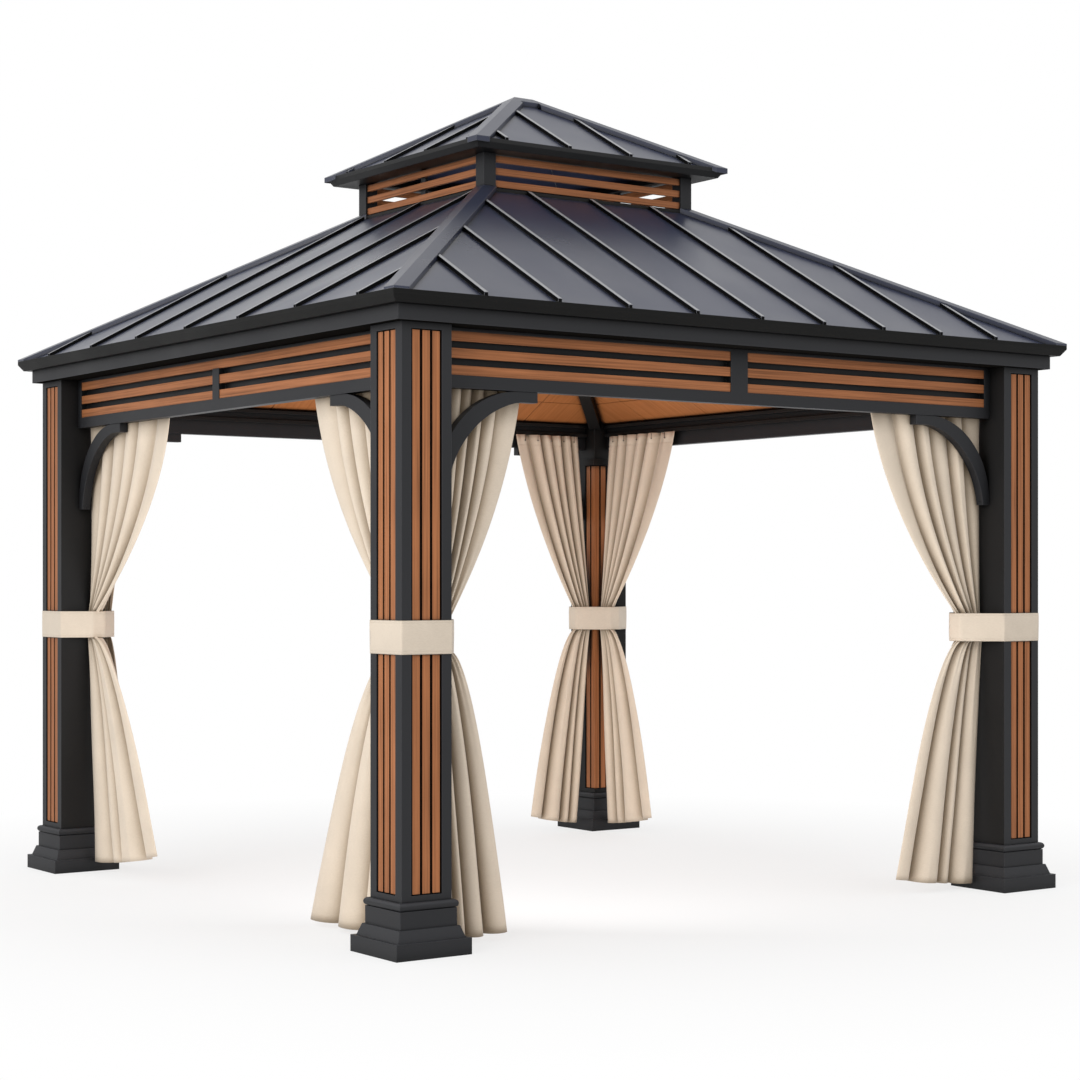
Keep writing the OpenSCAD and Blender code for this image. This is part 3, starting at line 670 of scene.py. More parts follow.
@dataclass
class CadFinishes:
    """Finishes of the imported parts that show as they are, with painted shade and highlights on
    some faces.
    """

    rib_least: float = 0.006
    rib_side_least: float = 0.05
    facing: float = 0.9
    sloped: float = 0.5
    upright: float = 0.95

    def finish_of(self, node: str) -> object | None:
        """Chooses the finish of a part.

        Args:
            node: Name of the part.

        Returns:
            The finish, or None where another piece stands for the part.
        """
        table = (
            ("post_slats", UPRIGHT_SLAT), ("frieze_slats", LEVEL_SLAT),
            ("cupola_louvres", LEVEL_SLAT), ("plinth", FRAME_COAT), ("post", FRAME_COAT),
            ("frieze", FRAME_COAT), ("brackets", FRAME_COAT), ("eave_fascia", FRAME_COAT),
            ("cupola_posts", FRAME_COAT), ("gutters", GUTTER_COAT), ("upper_eave", EAVE_COAT),
            ("curtain_tracks", INNER_COAT), ("hip_rafters", INNER_COAT),
            ("ceiling_ledgers", INNER_COAT), ("cupola_curb", INNER_COAT),
            ("foot_plates", FOOT_ZINC), ("roof", ROOF_COAT), ("upper_roof", ROOF_COAT),
            ("hip_caps", CAP_COAT), ("upper_caps", CAP_COAT),
        )
        return next((finish for start, finish in table if node.startswith(start)), None)

    def dress(self, shop: Workshop) -> None:
        """Gives every part its material.

        Args:
            shop: Workshop that keeps the materials.
        """
        for name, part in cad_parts.items():
            finish = self.finish_of(name)
            if finish is None:
                continue
            part.data.materials.clear()
            part.data.materials.append(shop.coat(finish))
            LOG.info("%s: %s", name, finish.name)
        # Painted shade: inner post faces get the darker inner coat, the fascia's underside a black
        # one.
        for corner in Corner:
            self.paint_shade_on_faces(f"post_{corner.label}", INNER_COAT, -Vector((*corner.sign, 0.0)), shop)
        self.paint_shade_on_faces("eave_fascia", SOFFIT_SHADE_COAT, Vector((0.0, 0.0, -1.0)), shop)
        # Painted highlights on the rib tops and painted shade on the rib sides.
        for node in ROOF_NODES:
            self.paint_rib_light_and_shade(node, shop)

    def paint_shade_on_faces(self, node: str, finish: object, way: Vector, shop: Workshop) -> None:
        """Paints shade on the faces of a part that look one way, with another finish.

        Args:
            node: Name of the part.
            finish: The darker finish of the painted shade.
            way: Direction that the faces look to.
            shop: Workshop that keeps the materials.
        """
        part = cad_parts[node]
        part.data.materials.append(shop.coat(finish))
        turned = part.matrix_world.to_3x3()
        for face in part.data.polygons:
            if (turned @ face.normal).dot(way) > self.facing:
                face.material_index = 1

    def paint_rib_light_and_shade(self, node: str, shop: Workshop) -> None:
        """Gives the ribs of a roof part painted highlights on the tops and painted shade on the
        sides.

        Args:
            node: Name of the roof part.
            shop: Workshop that keeps the materials.
        """
        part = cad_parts[node]
        part.data.materials.append(shop.coat(RIB_TOP_HIGHLIGHT_COAT))
        part.data.materials.append(shop.coat(RIB_SIDE_SHADE_COAT))
        turned = part.matrix_world.to_3x3()
        slopes: dict[Side, list] = {side: [] for side in Side}
        for face in part.data.polygons:
            normal = turned @ face.normal
            plan = np.array(normal.xy)
            side = max(Side, key=lambda each: float(plan @ each.out))
            if normal.z > self.sloped:
                level = normal.dot(part.matrix_world @ face.center)
                slopes[side].append((face.area, level, face))
            elif np.abs(plan).max() > self.upright:
                self.paint_rib_side_shade(part, face, side)
        for found in slopes.values():
            sheet = max(found, key=lambda each: each[0])[1] if found else 0.0
            for _, level, face in found:
                if level > sheet + self.rib_least:
                    face.material_index = 1

    def paint_rib_side_shade(self, part: bpy.types.Object, face: bpy.types.MeshPolygon, side: Side) -> None:
        """Gives an upright face the painted shade coat where it runs up the slope.

        Args:
            part: Packed roof part.
            face: Upright face.
            side: Side that the face looks to.
        """
        points = np.array([part.matrix_world @ part.data.vertices[n].co for n in face.vertices])
        along = float(np.ptp(points[:, :2] @ side.along))
        if along > self.rib_side_least:
            face.material_index = 2


@dataclass
class CornerPost:
    """Places at a post that the curtains and the tie band need."""

    corner: Corner

    def __post_init__(self) -> None:
        """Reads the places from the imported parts."""
        low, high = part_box(f"plinth_{self.corner.label}")
        self.middle = np.array(((low.x + high.x) / 2, (low.y + high.y) / 2))
        low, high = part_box(f"post_{Corner.FRONT_LEFT.label}")
        self.half = (high.x - low.x) / 2
        self.inward = -np.array(self.corner.sign, float)
        self.cloth_low, self.cloth_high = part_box(f"curtains_{self.corner.label}")
        self.tie_low, self.tie_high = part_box(f"tie_{self.corner.label}")

    def reach(self, low: Vector, high: Vector, axis: int) -> float:
        """Measures how far a box reaches into the plan from the post face, along X or Y."""
        far = high[axis] if self.inward[axis] > 0 else low[axis]
        return abs(far - self.middle[axis]) - self.half


@dataclass(frozen=True)
class Reach:
    """How far a curtain is drawn from the post face, and where it starts beside the post."""

    heading: float
    hem: float
    lift: float
    start: float = 0.045
    foot: float = 0.055
    hang: float = 0.42
    drop: float = 0.0


REACHES = {
    (Corner.FRONT_LEFT, Run.FRONT_BACK): Reach(0.411, 0.336, 0.010, hang=0.75, drop=0.025),
    (Corner.FRONT_LEFT, Run.SIDES): Reach(0.669, 0.690, 0.0, hang=0.80, drop=0.025),
    (Corner.FRONT_RIGHT, Run.FRONT_BACK): Reach(0.645, 0.490, 0.045, start=0.004, hang=0.70,
                                                drop=0.020),
    (Corner.FRONT_RIGHT, Run.SIDES): Reach(0.642, 0.360, 0.030),
    (Corner.BACK_RIGHT, Run.FRONT_BACK): Reach(0.473, 0.403, 0.050, start=0.060, foot=0.090),
    (Corner.BACK_RIGHT, Run.SIDES): Reach(0.621, 0.480, 0.060, start=0.050, foot=0.075),
    (Corner.BACK_LEFT, Run.FRONT_BACK): Reach(0.180, 0.160, 0.030, start=0.006, hang=0.1),
    (Corner.BACK_LEFT, Run.SIDES): Reach(0.814, 0.690, 0.085, start=0.006, hang=0.80),
}


@dataclass(frozen=True)
class Folds:
    """Folds across a cloth, from the post to its free edge."""

    shares: tuple[float, ...]
    crests: tuple[float, ...]
    bluntness: float
    pinch: float
    unlike: float = 0.3
    edge_turn: float = 0.70

    def drawn(self, across: np.ndarray, random: np.random.Generator,
              start_turn: float) -> tuple[np.ndarray, np.ndarray]:
        """Draws the folds, a little different on every cloth.

        Args:
            across: Places across the cloth from 0 to 1.
            random: Source of the differences.
            start_turn: Share of the first fold that is left out beside the post.

        Returns:
            The places along the rail from 0 to 1 and the depths from 0 to 1.
        """
        count = len(self.shares)
        widths = np.array(self.shares) * (1 + self.unlike * (random.random(count) - 0.5))
        ends = np.concatenate(([0.0], np.cumsum(widths) / widths.sum()))
        crests = np.array(self.crests) * (1 + 0.5 * self.unlike * (random.random(count) - 0.5))
        creases = 0.4 * self.unlike * random.random(count + 1)
        fold = np.clip(np.searchsorted(ends, across, side="right") - 1, 0, count - 1)
        width = ends[fold + 1] - ends[fold]
        first = np.where(fold == 0, start_turn, 0.0)
        last = np.where(fold == count - 1, self.edge_turn, 1.0)
        turn = first + (last - first) * np.clip((across - ends[fold]) / width, 0.0, 1.0)
        hill = np.clip(np.sin(np.pi * turn), 0.0, 1.0) ** self.bluntness
        begin, here, end = (
            t - self.pinch / (2 * np.pi) * np.sin(2 * np.pi * t) for t in (first, turn, last)
        )
        floor = creases[fold] * (1 - turn) + creases[fold + 1] * turn
        places = ends[fold] + width * (here - begin) / (end - begin)
        return places, floor + (crests[fold] - floor) * hill


UPPER_FOLDS = Folds((0.13, 0.15, 0.16, 0.15, 0.17, 0.24), (0.80, 1.0, 0.85, 1.0, 0.90, 0.60),
                    1.1, 0.40)
LOWER_FOLDS = Folds((0.23, 0.17, 0.33, 0.27), (0.95, 0.80, 1.0, 0.85), 0.75, 0.45)


@dataclass
class Curtain:
    """Pleated curtain that hangs from the track and is gathered into the tie band."""

    post: CornerPost
    run: Run
    seed: int
    columns: int = 161
    rows: int = 110
    heading_depth: float = 0.050
    heading_pleats: int = 9
    pleat_depth: float = 0.10
    pleat_ease: float = 0.07
    hooks: int = 5
    hook_drop: float = 0.024
    hook_span: int = 8
    heading_band: float = 0.052
    seam_reach: float = 0.004
    seam_depth: float = 0.04
    waist_depth: float = 0.055
    hem_depth: float = 0.088
    flare: float = 0.6
    lift_bend: float = 1.6
    start_turn: float = 0.32
    sway: float = 0.006
    tie_ease: float = 0.12
    creases: float = 11.0
    crease_depth: float = 0.07
    broad_depth: float = 0.05
    shallow: float = 0.06
    cloth: float = 0.0014
    band: float = 0.0035
    post_clear: float = 0.0015
    track_clear: float = 0.001

    def __post_init__(self) -> None:
        """Works out the sizes from the places at the post."""
        post = self.post
        axis = self.run.value
        self.along = np.zeros(2)
        self.along[axis] = post.inward[axis]
        self.deep = np.zeros(2)
        self.deep[1 - axis] = post.inward[1 - axis]
        self.reach = REACHES[post.corner, self.run]
        self.waist = post.reach(post.tie_low, post.tie_high, axis) - self.band
        inner = post.cloth_low[axis] if post.inward[axis] > 0 else post.cloth_high[axis]
        self.behind = abs(inner - post.middle[axis])
        self.top = post.cloth_high.z
        self.hem = post.cloth_low.z
        self.crests_inside = post.corner is Corner.BACK_RIGHT
        self.random = np.random.default_rng(self.seed)
        self.grid = self.points()

    @property
    def name(self) -> str:
        """Name of the piece."""
        side = "front_back" if self.run is Run.FRONT_BACK else "side"
        return f"curtain_{self.post.corner.label}_{side}"

    def heights(self) -> np.ndarray:
        """Gives the heights of the rows, closer together at the tie band and the heading's seam.

        Returns:
            The heights in metres, from the hem to the top.
        """
        tie = (self.post.tie_low.z + self.post.tie_high.z) / 2
        split = int(self.rows * (tie - self.hem) / (self.top - self.hem))
        ease = np.linspace(0, 1, split + 1)[:-1]
        below = self.hem + (tie - self.hem) * np.sin(ease * np.pi / 2)
        ease = np.linspace(0, 1, self.rows - split)
        above = tie + (self.top - tie) * (1 - np.cos(ease * np.pi / 2))
        seam = self.top - self.heading_band
        sewn = (seam - self.seam_reach, seam, seam + self.seam_reach)
        return np.union1d(np.concatenate((below, above)), sewn)

    def points(self) -> np.ndarray:
        """Works out the cloth.

        Returns:
            Points by row and column, in metres.
        """
        post = self.post
        across = np.linspace(0, 1, self.columns)
        start_turn = 0.0 if self.crests_inside else self.start_turn
        upper = UPPER_FOLDS.drawn(across, self.random, start_turn)
        lower = LOWER_FOLDS.drawn(across, self.random, start_turn)
        ripple = self.random.random(4) * 2 * np.pi
        levels = self.heights()
        grid = np.zeros((len(levels), self.columns, 3))
        tie_low, tie_high = post.tie_low.z, post.tie_high.z
        for row, z in enumerate(levels):
            up = max(0.0, (z - tie_high) / (self.top - tie_high))
            down = max(0.0, (tie_low - z) / (tie_low - self.hem))
            near = up * self.reach.start + down * self.reach.foot
            hang = up * (1 + self.reach.hang * (1 - up))
            far = (self.waist + (self.reach.heading - self.waist) * hang
                   + (self.reach.hem - self.waist) * down ** self.flare)
            depth = (self.waist_depth + up * (self.heading_depth - self.waist_depth)
                     + down * (self.hem_depth - self.waist_depth))
            share = np.clip((z - tie_low) / (tie_high - tie_low), 0, 1)
            share = share * share * (3 - 2 * share)
            free = up * (1 - up) + down * (1 - 0.5 * down)
            sway = self.sway * np.sin(3.1 * z + ripple[0] + 5 * across) * free
            place = share * upper[0] + (1 - share) * lower[0] + sway
            out = share * upper[1] + (1 - share) * lower[1]
            near_tie = math.exp(-min(abs(z - tie_low), abs(z - tie_high)) / self.tie_ease)
            crease = np.sin(2 * np.pi * self.creases * across + ripple[1] + 4 * z)
            broad = np.sin(2 * np.pi * (0.9 * z + 1.7 * across) + ripple[2]) * (up + down)
            pleat = np.cos(2 * np.pi * self.heading_pleats * across)
            on_seam = abs(z - self.top + self.heading_band) < self.seam_reach / 4
            out = (self.shallow + out * (1 - self.shallow) + self.crease_depth * near_tie * crease
                   + self.broad_depth * broad * (1 - near_tie)
                   + self.pleat_depth * math.exp(-(self.top - z) / self.pleat_ease) * pleat
                   - (self.seam_depth if on_seam else 0.0))
            out = np.clip(out, 0.0, 1.0)
            out = out if self.crests_inside else 1 - out
            run = near + (far - near) * np.clip(place, 0.0, 1.0)
            plan = (post.middle + np.outer(post.half + self.post_clear + run, self.along)
                    + np.outer(self.behind + self.track_clear + depth * out, self.deep))
            lift = self.reach.lift * across ** self.lift_bend
            grid[row, :, :2] = plan
            grid[row, :, 2] = z + (lift - self.reach.drop) * down ** 2
        return grid

    def build(self, shop: Workshop) -> bpy.types.Object:
        """Makes the curtain.

        Args:
            shop: Workshop that makes the piece.

        Returns:
            The curtain.
        """
        grid = self.grid
        piece = shop.cloth(self.name, grid, CURTAIN_CLOTH, "curtain", self.cloth)
        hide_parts(f"curtains_{self.post.corner.label}")
        return piece

    def hook_places(self) -> list[np.ndarray]:
        """Finds the places of the hooks, on the inside of the heading.

        Returns:
            Points beside the cloth, below its top edge.
        """
        row = int(np.argmin(abs(self.grid[:, 0, 2] - (self.top - self.hook_drop))))
        places = []
        for hook in range(self.hooks):
            column = round((hook + 0.5) / self.hooks * (self.columns - 1))
            beside = slice(max(0, column - self.hook_span), column + self.hook_span + 1)
            around = self.grid[row, beside, :2] - self.post.middle
            place = self.grid[row, column].copy()
            inmost = float(np.max(around @ self.deep))
            place[:2] += self.deep * (inmost - float((place[:2] - self.post.middle) @ self.deep))
            places.append(place)
        return places


@dataclass
class TieBand:
    """Band of cloth round a post and its two gathered curtains."""

    post: CornerPost
    cloth: float = 0.0022
    clear: float = 0.0006
    waist_depth: float = 0.058
    post_radius: float = 0.004
    bundle_radius: float = 0.028
    most_cut: float = 0.03
    band: float = 0.0035
    rows: int = 14
    hem: float = 0.009
    stitch_share: float = 0.15
    stitch: float = 0.0007
    swell: float = 0.0006
    wave: float = 0.0008

    @property
    def name(self) -> str:
        """Name of the piece."""
        return f"tie_band_{self.post.corner.label}"

    def outline(self) -> np.ndarray:
        """Gives the middle line of the band in plan, with rounded corners.

        Returns:
            The points from the middle of the post, with inwards positive.
        """
        post = self.post
        gap = self.clear + self.cloth / 2
        half = post.half
        reach = [post.reach(post.tie_low, post.tie_high, axis) - self.band for axis in (0, 1)]
        inner = post.cloth_low[0] if post.inward[0] > 0 else post.cloth_high[0]
        behind = abs(inner - post.middle[0])
        far_x, far_y = half + reach[0], half + reach[1]
        outer = behind + self.waist_depth
        corners = [
            ((far_x, outer), self.bundle_radius), ((outer, far_y), self.bundle_radius),
            ((behind, far_y), self.bundle_radius), ((-half, half), self.post_radius),
            ((-half, -half), self.post_radius), ((half, -half), self.post_radius),
            ((far_x, behind), self.bundle_radius),
        ]
        return self.rounded(self.grown(corners, gap))

    @staticmethod
    def grown(corners: list, gap: float) -> list:
        """Moves the sides of an outline outwards.

        Args:
            corners: Points and corner radii, counter-clockwise.
            gap: Distance to move each side.

        Returns:
            The moved points and their radii.
        """
        moved = []
        for n, (point, radius) in enumerate(corners):
            here = np.array(point)
            before = here - np.array(corners[n - 1][0])
            after = np.array(corners[(n + 1) % len(corners)][0]) - here
            normals = [np.array((d[1], -d[0])) / np.linalg.norm(d) for d in (before, after)]
            middle = normals[0] + normals[1]
            moved.append((here + middle * gap * 2 / middle.dot(middle), radius + gap))
        return moved

    def rounded(self, corners: list, steps: int = 7) -> np.ndarray:
        """Rounds the corners of a closed outline.

        Args:
            corners: Points and corner radii.
            steps: Points in each rounded corner.

        Returns:
            The points of the outline.
        """
        points = []
        for n, (point, radius) in enumerate(corners):
            before = corners[n - 1][0] - point
            after = corners[(n + 1) % len(corners)][0] - point
            before, after = before / np.linalg.norm(before), after / np.linalg.norm(after)
            half_angle = math.acos(float(np.clip(before.dot(after), -1, 1))) / 2
            cut = min(radius / math.tan(half_angle), self.most_cut)
            start, end = point + before * cut, point + after * cut
            for step in range(steps + 1):
                t = step / steps
                points.append((1 - t) ** 2 * start + 2 * t * (1 - t) * point + t ** 2 * end)
        return np.array(points)

    def path(self, spacing: float = 0.012) -> np.ndarray:
        """Gives the closed line of the band in plan, with points close together.

        Args:
            spacing: Distance between points in metres.

        Returns:
            The points, without the first one again at the end.
        """
        outline = self.outline()
        line = np.vstack((outline, outline[:1]))
        steps = np.concatenate(([0.0], np.cumsum(np.linalg.norm(np.diff(line, axis=0), axis=1))))
        count = int(steps[-1] / spacing)
        at = np.unique(np.concatenate((np.linspace(0, steps[-1], count), steps)))
        return np.stack([np.interp(at, steps, line[:, k]) for k in (0, 1)], axis=1)[:-1]

    def levels(self) -> tuple[np.ndarray, np.ndarray]:
        """Gives the heights of the rows, close together at the sewn hems.

        Returns:
            The heights, and which of them are sewn.
        """
        low, high = self.post.tie_low.z, self.post.tie_high.z
        near = self.hem * (1 - self.stitch_share), self.hem, self.hem * (1 + self.stitch_share)
        edge = [low, *(low + height for height in near)]
        middle = np.linspace(low + 2 * self.hem, high - 2 * self.hem, self.rows - 2 * len(edge))
        levels = np.array(edge + list(middle) + [low + high - z for z in reversed(edge)])
        return levels, np.isclose(levels, low + self.hem) | np.isclose(levels, high - self.hem)

    def build(self, shop: Workshop) -> bpy.types.Object:
        """Makes the band.

        Args:
            shop: Workshop that makes the piece.

        Returns:
            The band.
        """
        post = self.post
        line = self.path()
        levels, stitched = self.levels()
        low, high = levels[0], levels[-1]
        ahead = np.roll(line, -1, axis=0) - np.roll(line, 1, axis=0)
        out = np.stack((ahead[:, 1], -ahead[:, 0]), axis=1)
        out /= np.linalg.norm(out, axis=1)[:, None]
        steps = np.linalg.norm(np.roll(line, -1, axis=0) - line, axis=1)
        turn = 2 * np.pi * np.cumsum(steps) / steps.sum()
        rows = []
        for level, sewn in zip(levels, stitched):
            swell = self.swell * math.sin(math.pi * (level - low) / (high - low))
            swell -= self.stitch if sewn else 0.0
            wave = self.wave * np.sin(9 * turn + 31.0 * level)
            local = line + out * (swell + np.maximum(wave, 0))[:, None]
            plan = post.middle + local * post.inward
            rows.append(np.column_stack((plan, np.full(len(line), level))))
        flip = post.inward[0] * post.inward[1] < 0
        piece = shop.cloth(self.name, np.array(rows), TIE_CLOTH, "tie_band", self.cloth, True, flip)
        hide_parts(f"tie_{post.corner.label}")
        return piece


@dataclass
class Ceiling:
    """Panels under the roof, laid up the slope in rows."""

    board_width: float = 0.50
    row_shares: tuple[float, ...] = (0.0, 0.19, 0.58, 1.0)
    gap: float = 0.0016
    seam: float = 0.004
    chamfer: float = 0.0020
    thickness: float = 0.010
    post_gap: float = 0.0015
    grain_shift: tuple[float, float] = (3.7, 1.3)

    def __post_init__(self) -> None:
        """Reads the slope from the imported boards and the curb."""
        low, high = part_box("ceiling_boards")
        _, curb_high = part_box("cupola_curb")
        self.outer = np.array((high.x, high.y))
        self.inner = np.array((curb_high.x, curb_high.y))
        self.low = low.z
        post = CornerPost(Corner.BACK_RIGHT)
        self.post_face = post.middle - post.half - self.post_gap
        run = self.outer[0] - self.inner[0]
        rise = high.z - low.z
        steep = rise / run
        for _ in range(3):
            steep = (rise - self.thickness * math.sqrt(1 + steep * steep)) / run
        self.slope = steep

    @staticmethod
    def clip(polygon: list, edge: tuple[float, float, float]) -> list:
        """Cuts a polygon with a straight line.

        Args:
            polygon: Points in plan.
            edge: Values a, b and c of the line; the part with a x + b y <= c stays.

        Returns:
            The points that are left.
        """
        a, b, c = edge
        kept = []
        for n, here in enumerate(polygon):
            before = polygon[n - 1]
            d0 = a * before[0] + b * before[1] - c
            d1 = a * here[0] + b * here[1] - c
            if d0 * d1 < 0:
                t = d0 / (d0 - d1)
                kept.append(tuple(p + t * (q - p) for p, q in zip(before, here)))
            if d1 <= 0:
                kept.append(here)
        return kept

    def boards(self, side: Side) -> list:
        """Lays out the boards of one side.

        Args:
            side: Side of the plan.

        Returns:
            Polygons of places along the side and distances out from the middle of the plan.
        """
        axis = side.axis
        out_far, out_near = self.outer[axis], self.inner[axis]
        half = self.outer[1 - axis]
        reach = out_far - out_near
        laid = []
        count = math.ceil(half / self.board_width)
        for low_share, high_share in zip(self.row_shares, self.row_shares[1:]):
            far = out_far - low_share * reach - (self.seam / 2 if low_share else 0)
            near = out_far - high_share * reach + self.seam / 2
            for n in range(-count, count):
                x0 = n * self.board_width + self.gap / 2
                x1 = (n + 1) * self.board_width - self.gap / 2
                board = [(x0, near), (x0, far), (x1, far), (x1, near)]
                for sign in (-1, 1):
                    board = self.clip(board, (sign, -1.0, half - out_far - self.gap))
                    board = self.clip(board, (sign, 0.0, self.post_face[1 - axis]))
                if len(board) >= 3:
                    laid.append(board)
        return laid

    def build(self, shop: Workshop) -> bpy.types.Object:
        """Makes the boards.

        Args:
            shop: Workshop that makes the piece.

        Returns:
            The joined boards.
        """
        store = MeshStore.empty()
        laid = []
        levels = ((self.chamfer, 0.0), (0.0, self.chamfer), (0.0, self.thickness))
        steep = math.sqrt(1 + self.slope ** 2)
        for side in Side:
            for number, board in enumerate(self.boards(side)):
                middle = np.mean(board, axis=0)
                shift_x, shift_u = (number * shift for shift in self.grain_shift)
                rings = []
                for inset, lift in levels:
                    ring = []
                    for along, out in board:
                        toward = middle - (along, out)
                        pull = toward / max(np.linalg.norm(toward), TINY) * inset
                        x, u = along + pull[0], out + pull[1]
                        laid.append((x + shift_x, u + shift_u))
                        plan = side.along * x + side.out * u
                        z = self.low + self.slope * (self.outer[side.axis] - u)
                        ring.append((plan[0], plan[1], z + lift * steep))
                    rings.append(ring)
                store.loft(rings)
        piece = shop.joined("ceiling_panels", store, CEILING_WOOD, "ceiling", False)
        layer = piece.data.uv_layers.new(name=PANEL_MAP)
        for loop, spot in zip(piece.data.loops, layer.uv):
            spot.vector = laid[loop.vertex_index]
        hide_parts("ceiling_boards")
        return piece


@dataclass
class Fittings:
    """Screws in the brackets, hooks on the curtain headings and painted shade in the roof ribs'
    ends.
    """

    DOME = ((0.0, 1.0), (0.5, 0.96), (0.85, 0.7), (1.0, 0.3))
    KNOB = ((-1.0, 0.3), (-0.7, 0.8), (0.0, 1.0), (0.7, 0.8), (1.0, 0.28))

    head_radius: float = 0.0045
    head_height: float = 0.003
    head_sunk: float = 0.0004
    screw_lifts: tuple[float, float] = (0.012, 0.032)
    bracket_end: float = 0.040
    hook_radius: float = 0.0034
    hook_clear: float = 0.0016
    track_clear: float = 0.0008
    rib_wall: float = 0.002
    rib_widest: float = 0.03
    rib_touch: float = 1e-4
    plate_proud: tuple[float, float] = (0.0002, 0.0008)
    facing: float = 0.99

    def screws(self, shop: Workshop) -> bpy.types.Object:
        """Puts two screws into the foot of each bracket.

        Args:
            shop: Workshop that makes the piece.

        Returns:
            The joined screws.
        """
        store = MeshStore.empty()
        dome = [(self.head_height * up, self.head_radius * out) for up, out in self.DOME]
        for side in Side:
            low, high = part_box(f"brackets_{side.label}")
            axis = 1 - side.axis
            ends = (low[axis], high[axis])
            across = (low[1 - axis] + high[1 - axis]) / 2
            for end, into in zip(ends, (1, -1)):
                for lift in self.screw_lifts:
                    base = [0.0, 0.0, low.z + lift]
                    base[axis] = end + into * (self.bracket_end - self.head_sunk)
                    base[1 - axis] = across
                    face = [0.0, 0.0, 0.0]
                    face[axis] = into
                    store.turned(base, face, dome)
        return shop.joined("bracket_screws", store, SCREW_COAT, "frame")

    def hooks(self, shop: Workshop, curtains: Sequence[Curtain]) -> bpy.types.Object:
        """Hangs the curtains from the tracks by small hooks.

        Args:
            shop: Workshop that makes the piece.
            curtains: Curtains whose headings get hooks.

        Returns:
            The joined hooks.
        """
        store = MeshStore.empty()
        knob = [(self.hook_radius * up, self.hook_radius * out) for up, out in self.KNOB]
        for curtain in curtains:
            for base in curtain.hook_places():
                base[:2] += curtain.deep * (self.hook_radius + self.hook_clear)
                rise = curtain.top - self.track_clear - base[2]
                store.turned(base, (0.0, 0.0, 1.0), [*knob, (rise, knob[-1][1])], count=12)
        return shop.joined("curtain_hooks", store, SCREW_COAT, "gutter")

    def rib_hollow_shade_plates(self, shop: Workshop) -> bpy.types.Object:
        """Paints shade into the open lower ends of the roof ribs.

        Args:
            shop: Workshop that makes the piece.

        Returns:
            The joined thin plates of painted shade in the rib ends.
        """
        store = MeshStore.empty()
        for node in ROOF_NODES:
            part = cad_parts[node]
            for side in Side:
                for low, high in self.rib_ends(part, side):
                    start, end = low[0] + self.rib_wall, high[0] - self.rib_wall
                    top = high[2] - self.rib_wall
                    corners = ((start, low[2]), (end, low[2]), (end, top), (start, top))
                    store.loft([
                        [(*(side.along * a + side.out * (low[1] + proud)), z) for a, z in corners]
                        for proud in self.plate_proud
                    ])
        return shop.joined("rib_hollow_shade_plates", store, RIB_HOLLOW_SHADE_COAT, "roof_cap", False)

    def rib_ends(self, part: bpy.types.Object, side: Side) -> list[tuple[np.ndarray, np.ndarray]]:
        """Finds the upright end faces of the ribs on one side.

        Args:
            part: Packed roof part.
            side: Side that the ends look out of.

        Returns:
            For each end the lowest and highest place along the side, out of it and upwards.
        """
        out = Vector((*side.out, 0.0))
        corners = []
        for face in part.data.polygons:
            if (part.matrix_world.to_3x3() @ face.normal).dot(out) < self.facing:
                continue
            points = np.array([part.matrix_world @ part.data.vertices[n].co for n in face.vertices])
            plan = points[:, :2]
            local = np.stack((plan @ side.along, plan @ side.out, points[:, 2]), axis=1)
            if np.ptp(local[:, 0]) < self.rib_widest:
                corners.append(local)
        corners.sort(key=lambda local: float(local[:, 0].mean()))
        ends: list[tuple[np.ndarray, np.ndarray]] = []
        for local in corners:
            low, high = local.min(axis=0), local.max(axis=0)
            if ends and low[0] < ends[-1][1][0] - self.rib_touch:
                low, high = np.minimum(low, ends[-1][0]), np.maximum(high, ends[-1][1])
                ends.pop()
            ends.append((low, high))
        return ends


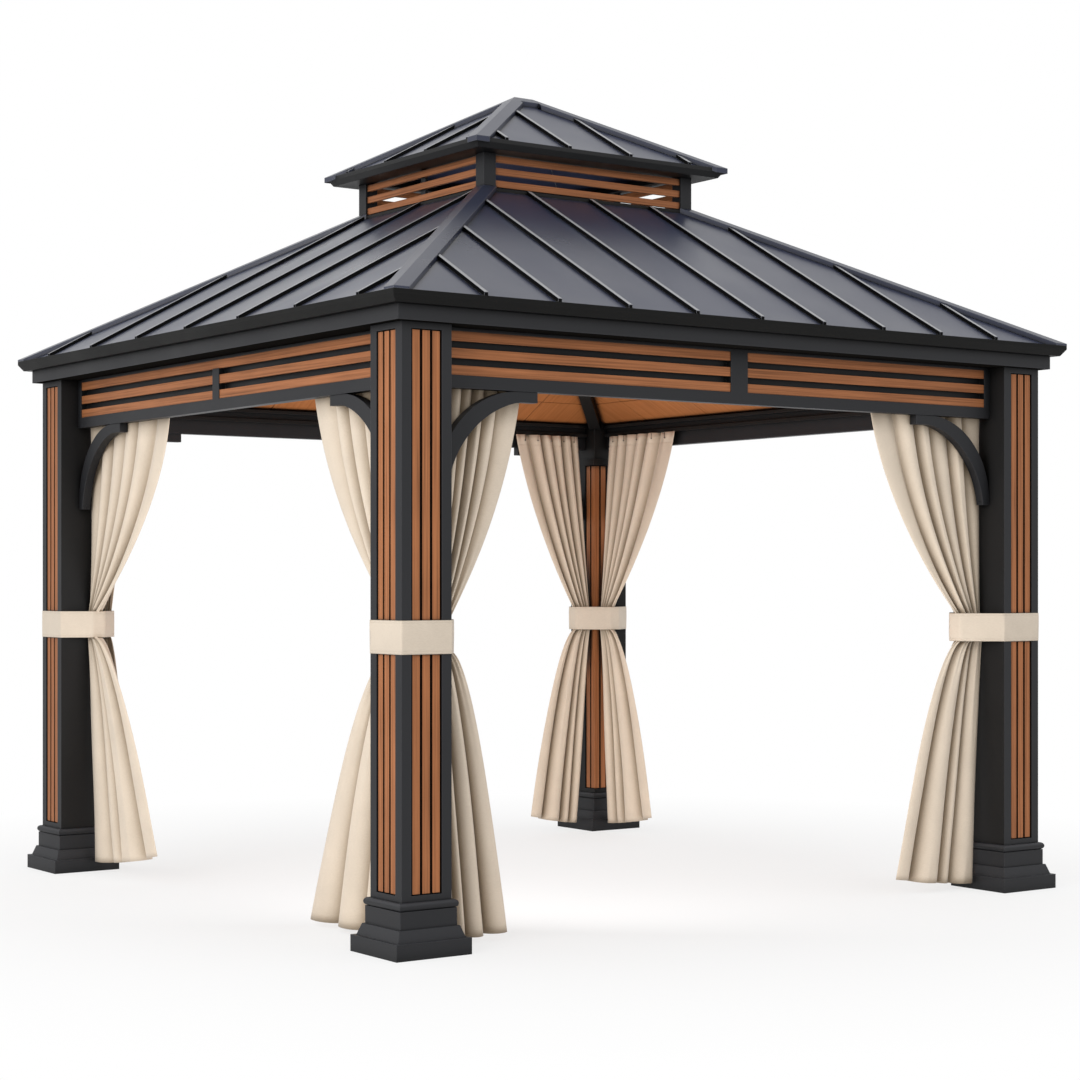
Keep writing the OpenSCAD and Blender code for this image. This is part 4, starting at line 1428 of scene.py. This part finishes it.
@dataclass
class Studio:
    """Plain pale floor, soft light and the camera."""

    camera_place: Point = (-5.855, -8.380, 1.332)
    camera_turn: float = -35.351
    lens: float = 76.06
    shift_up: float = 0.03673
    far_end: float = 200.0
    fill: float = 0.86
    key_power: float = 260.0
    key_place: Point = (-8.6, -4.2, 3.0)
    key_target: Point = (0.0, 0.0, 1.4)
    key_size: float = 4.0
    inner_power: float = 30.0
    inner_place: Point = (-1.0, -1.2, 1.25)
    inner_target: Point = (1.4, 1.4, 1.2)
    inner_size: float = 1.2
    floor_half: float = 60.0
    floor_tone: float = 0.86
    glow_share: tuple[float, float] = (0.66, 1.0)
    glow_reach: tuple[float, float] = (1.5, 4.0)

    def camera(self) -> None:
        """Makes the camera, which looks level."""
        data = bpy.data.cameras.new("view")
        data.lens = self.lens
        data.shift_y = self.shift_up
        data.clip_end = self.far_end
        view = bpy.data.objects.new("view", data)
        view.location = self.camera_place
        view.rotation_euler = (math.radians(90.0), 0.0, math.radians(self.camera_turn))
        bpy.context.scene.collection.objects.link(view)
        bpy.context.scene.camera = view

    @staticmethod
    def background_rays(tree: bpy.types.NodeTree) -> Socket:
        """Finds the rays that see the background, from the camera, off metal or through glass.

        Args:
            tree: Nodes of a material or of the world.

        Returns:
            The socket with 1 for these rays and 0 for rays that only bring light.
        """
        path = tree.nodes.new("ShaderNodeLightPath")
        seen = path.outputs["Is Camera Ray"]
        for kind in ("Is Glossy Ray", "Is Transmission Ray"):
            either = tree.nodes.new("ShaderNodeMath")
            either.operation = "MAXIMUM"
            tree.links.new(seen, either.inputs[0])
            tree.links.new(path.outputs[kind], either.inputs[1])
            seen = either.outputs[0]
        return seen

    def world(self) -> None:
        """Makes a white surround that lights softly."""
        world = bpy.data.worlds.new("surround")
        world.use_nodes = True
        nodes, links = world.node_tree.nodes, world.node_tree.links
        strength = nodes.new("ShaderNodeMapRange")
        strength.inputs["To Min"].default_value = self.fill
        strength.inputs["To Max"].default_value = 1.0
        links.new(self.background_rays(world.node_tree), strength.inputs["Value"])
        back = nodes["Background"]
        back.inputs["Color"].default_value = opaque(PLAIN)
        links.new(strength.outputs["Result"], back.inputs["Strength"])
        bpy.context.scene.world = world

    def lamp(self, name: str, place: Point, target: Point, power: float, size: float) -> None:
        """Hangs a soft lamp that doesn't show itself.

        Args:
            name: Name of the lamp.
            place: Where it hangs.
            target: Where it looks.
            power: Its power in watts.
            size: Its side in metres.
        """
        data = bpy.data.lights.new(name, "AREA")
        data.energy = power
        data.size = size
        lamp = bpy.data.objects.new(name, data)
        lamp.location = place
        lamp.rotation_euler = (Vector(target) - Vector(place)).to_track_quat("-Z", "Y").to_euler()
        lamp.visible_camera = False
        bpy.context.scene.collection.objects.link(lamp)

    def lamps(self) -> None:
        """Hangs a large soft lamp at the left and a small one under the roof."""
        self.lamp("key", self.key_place, self.key_target, self.key_power, self.key_size)
        self.lamp("inner", self.inner_place, self.inner_target, self.inner_power, self.inner_size)

    def floor(self) -> None:
        """Lays a pale floor that turns into the white surround away from the gazebo."""
        corners = [(x * self.floor_half, y * self.floor_half, 0.0)
                   for x, y in ((-1, -1), (1, -1), (1, 1), (-1, 1))]
        mesh = bpy.data.meshes.new("floor")
        mesh.from_pydata(corners, [], [(0, 1, 2, 3)])
        bench = NodeBench("pale_floor")
        bench.set(Base_Color=opaque((self.floor_tone,) * 3), Roughness=0.9)
        glow = bench.add("ShaderNodeEmission", {"Color": opaque(PLAIN), "Strength": 1.0})
        where = bench.add("ShaderNodeTexCoord").outputs["Object"]
        away = bench.add("ShaderNodeVectorMath", {0: where}, operation="LENGTH").outputs["Value"]
        far = bench.span(away, *self.glow_share, *self.glow_reach)
        seen = self.background_rays(bench.material.node_tree)
        share = bench.add("ShaderNodeMath", {0: far, 1: seen}, operation="MULTIPLY").outputs[0]
        shaders = {0: share, 1: bench.shader.outputs[0], 2: glow.outputs[0]}
        mix = bench.add("ShaderNodeMixShader", shaders)
        bench.links.new(mix.outputs[0], bench.nodes["Material Output"].inputs["Surface"])
        mesh.materials.append(bench.material)
        floor = bpy.data.objects.new("floor", mesh)
        bpy.context.scene.collection.objects.link(floor)

    def build(self) -> None:
        """Sets up the camera, the surround, the lamps and the floor."""
        bpy.context.scene.view_settings.view_transform = "Standard"
        self.camera()
        self.world()
        self.lamps()
        self.floor()


def main() -> None:
    """Builds the classes in order."""
    logging.basicConfig(level=logging.INFO, format="%(name)s %(message)s")
    shop = Workshop()
    Studio().build()
    CadFinishes().dress(shop)
    Ceiling().build(shop)
    curtains = []
    for place, corner in enumerate(Corner):
        post = CornerPost(corner)
        for run in Run:
            curtains.append(Curtain(post, run, seed=10 * place + run.value))
            curtains[-1].build(shop)
        TieBand(post).build(shop)
    fittings = Fittings()
    fittings.screws(shop)
    fittings.hooks(shop, curtains)
    fittings.rib_hollow_shade_plates(shop)


if __name__ == "__main__":
    main()
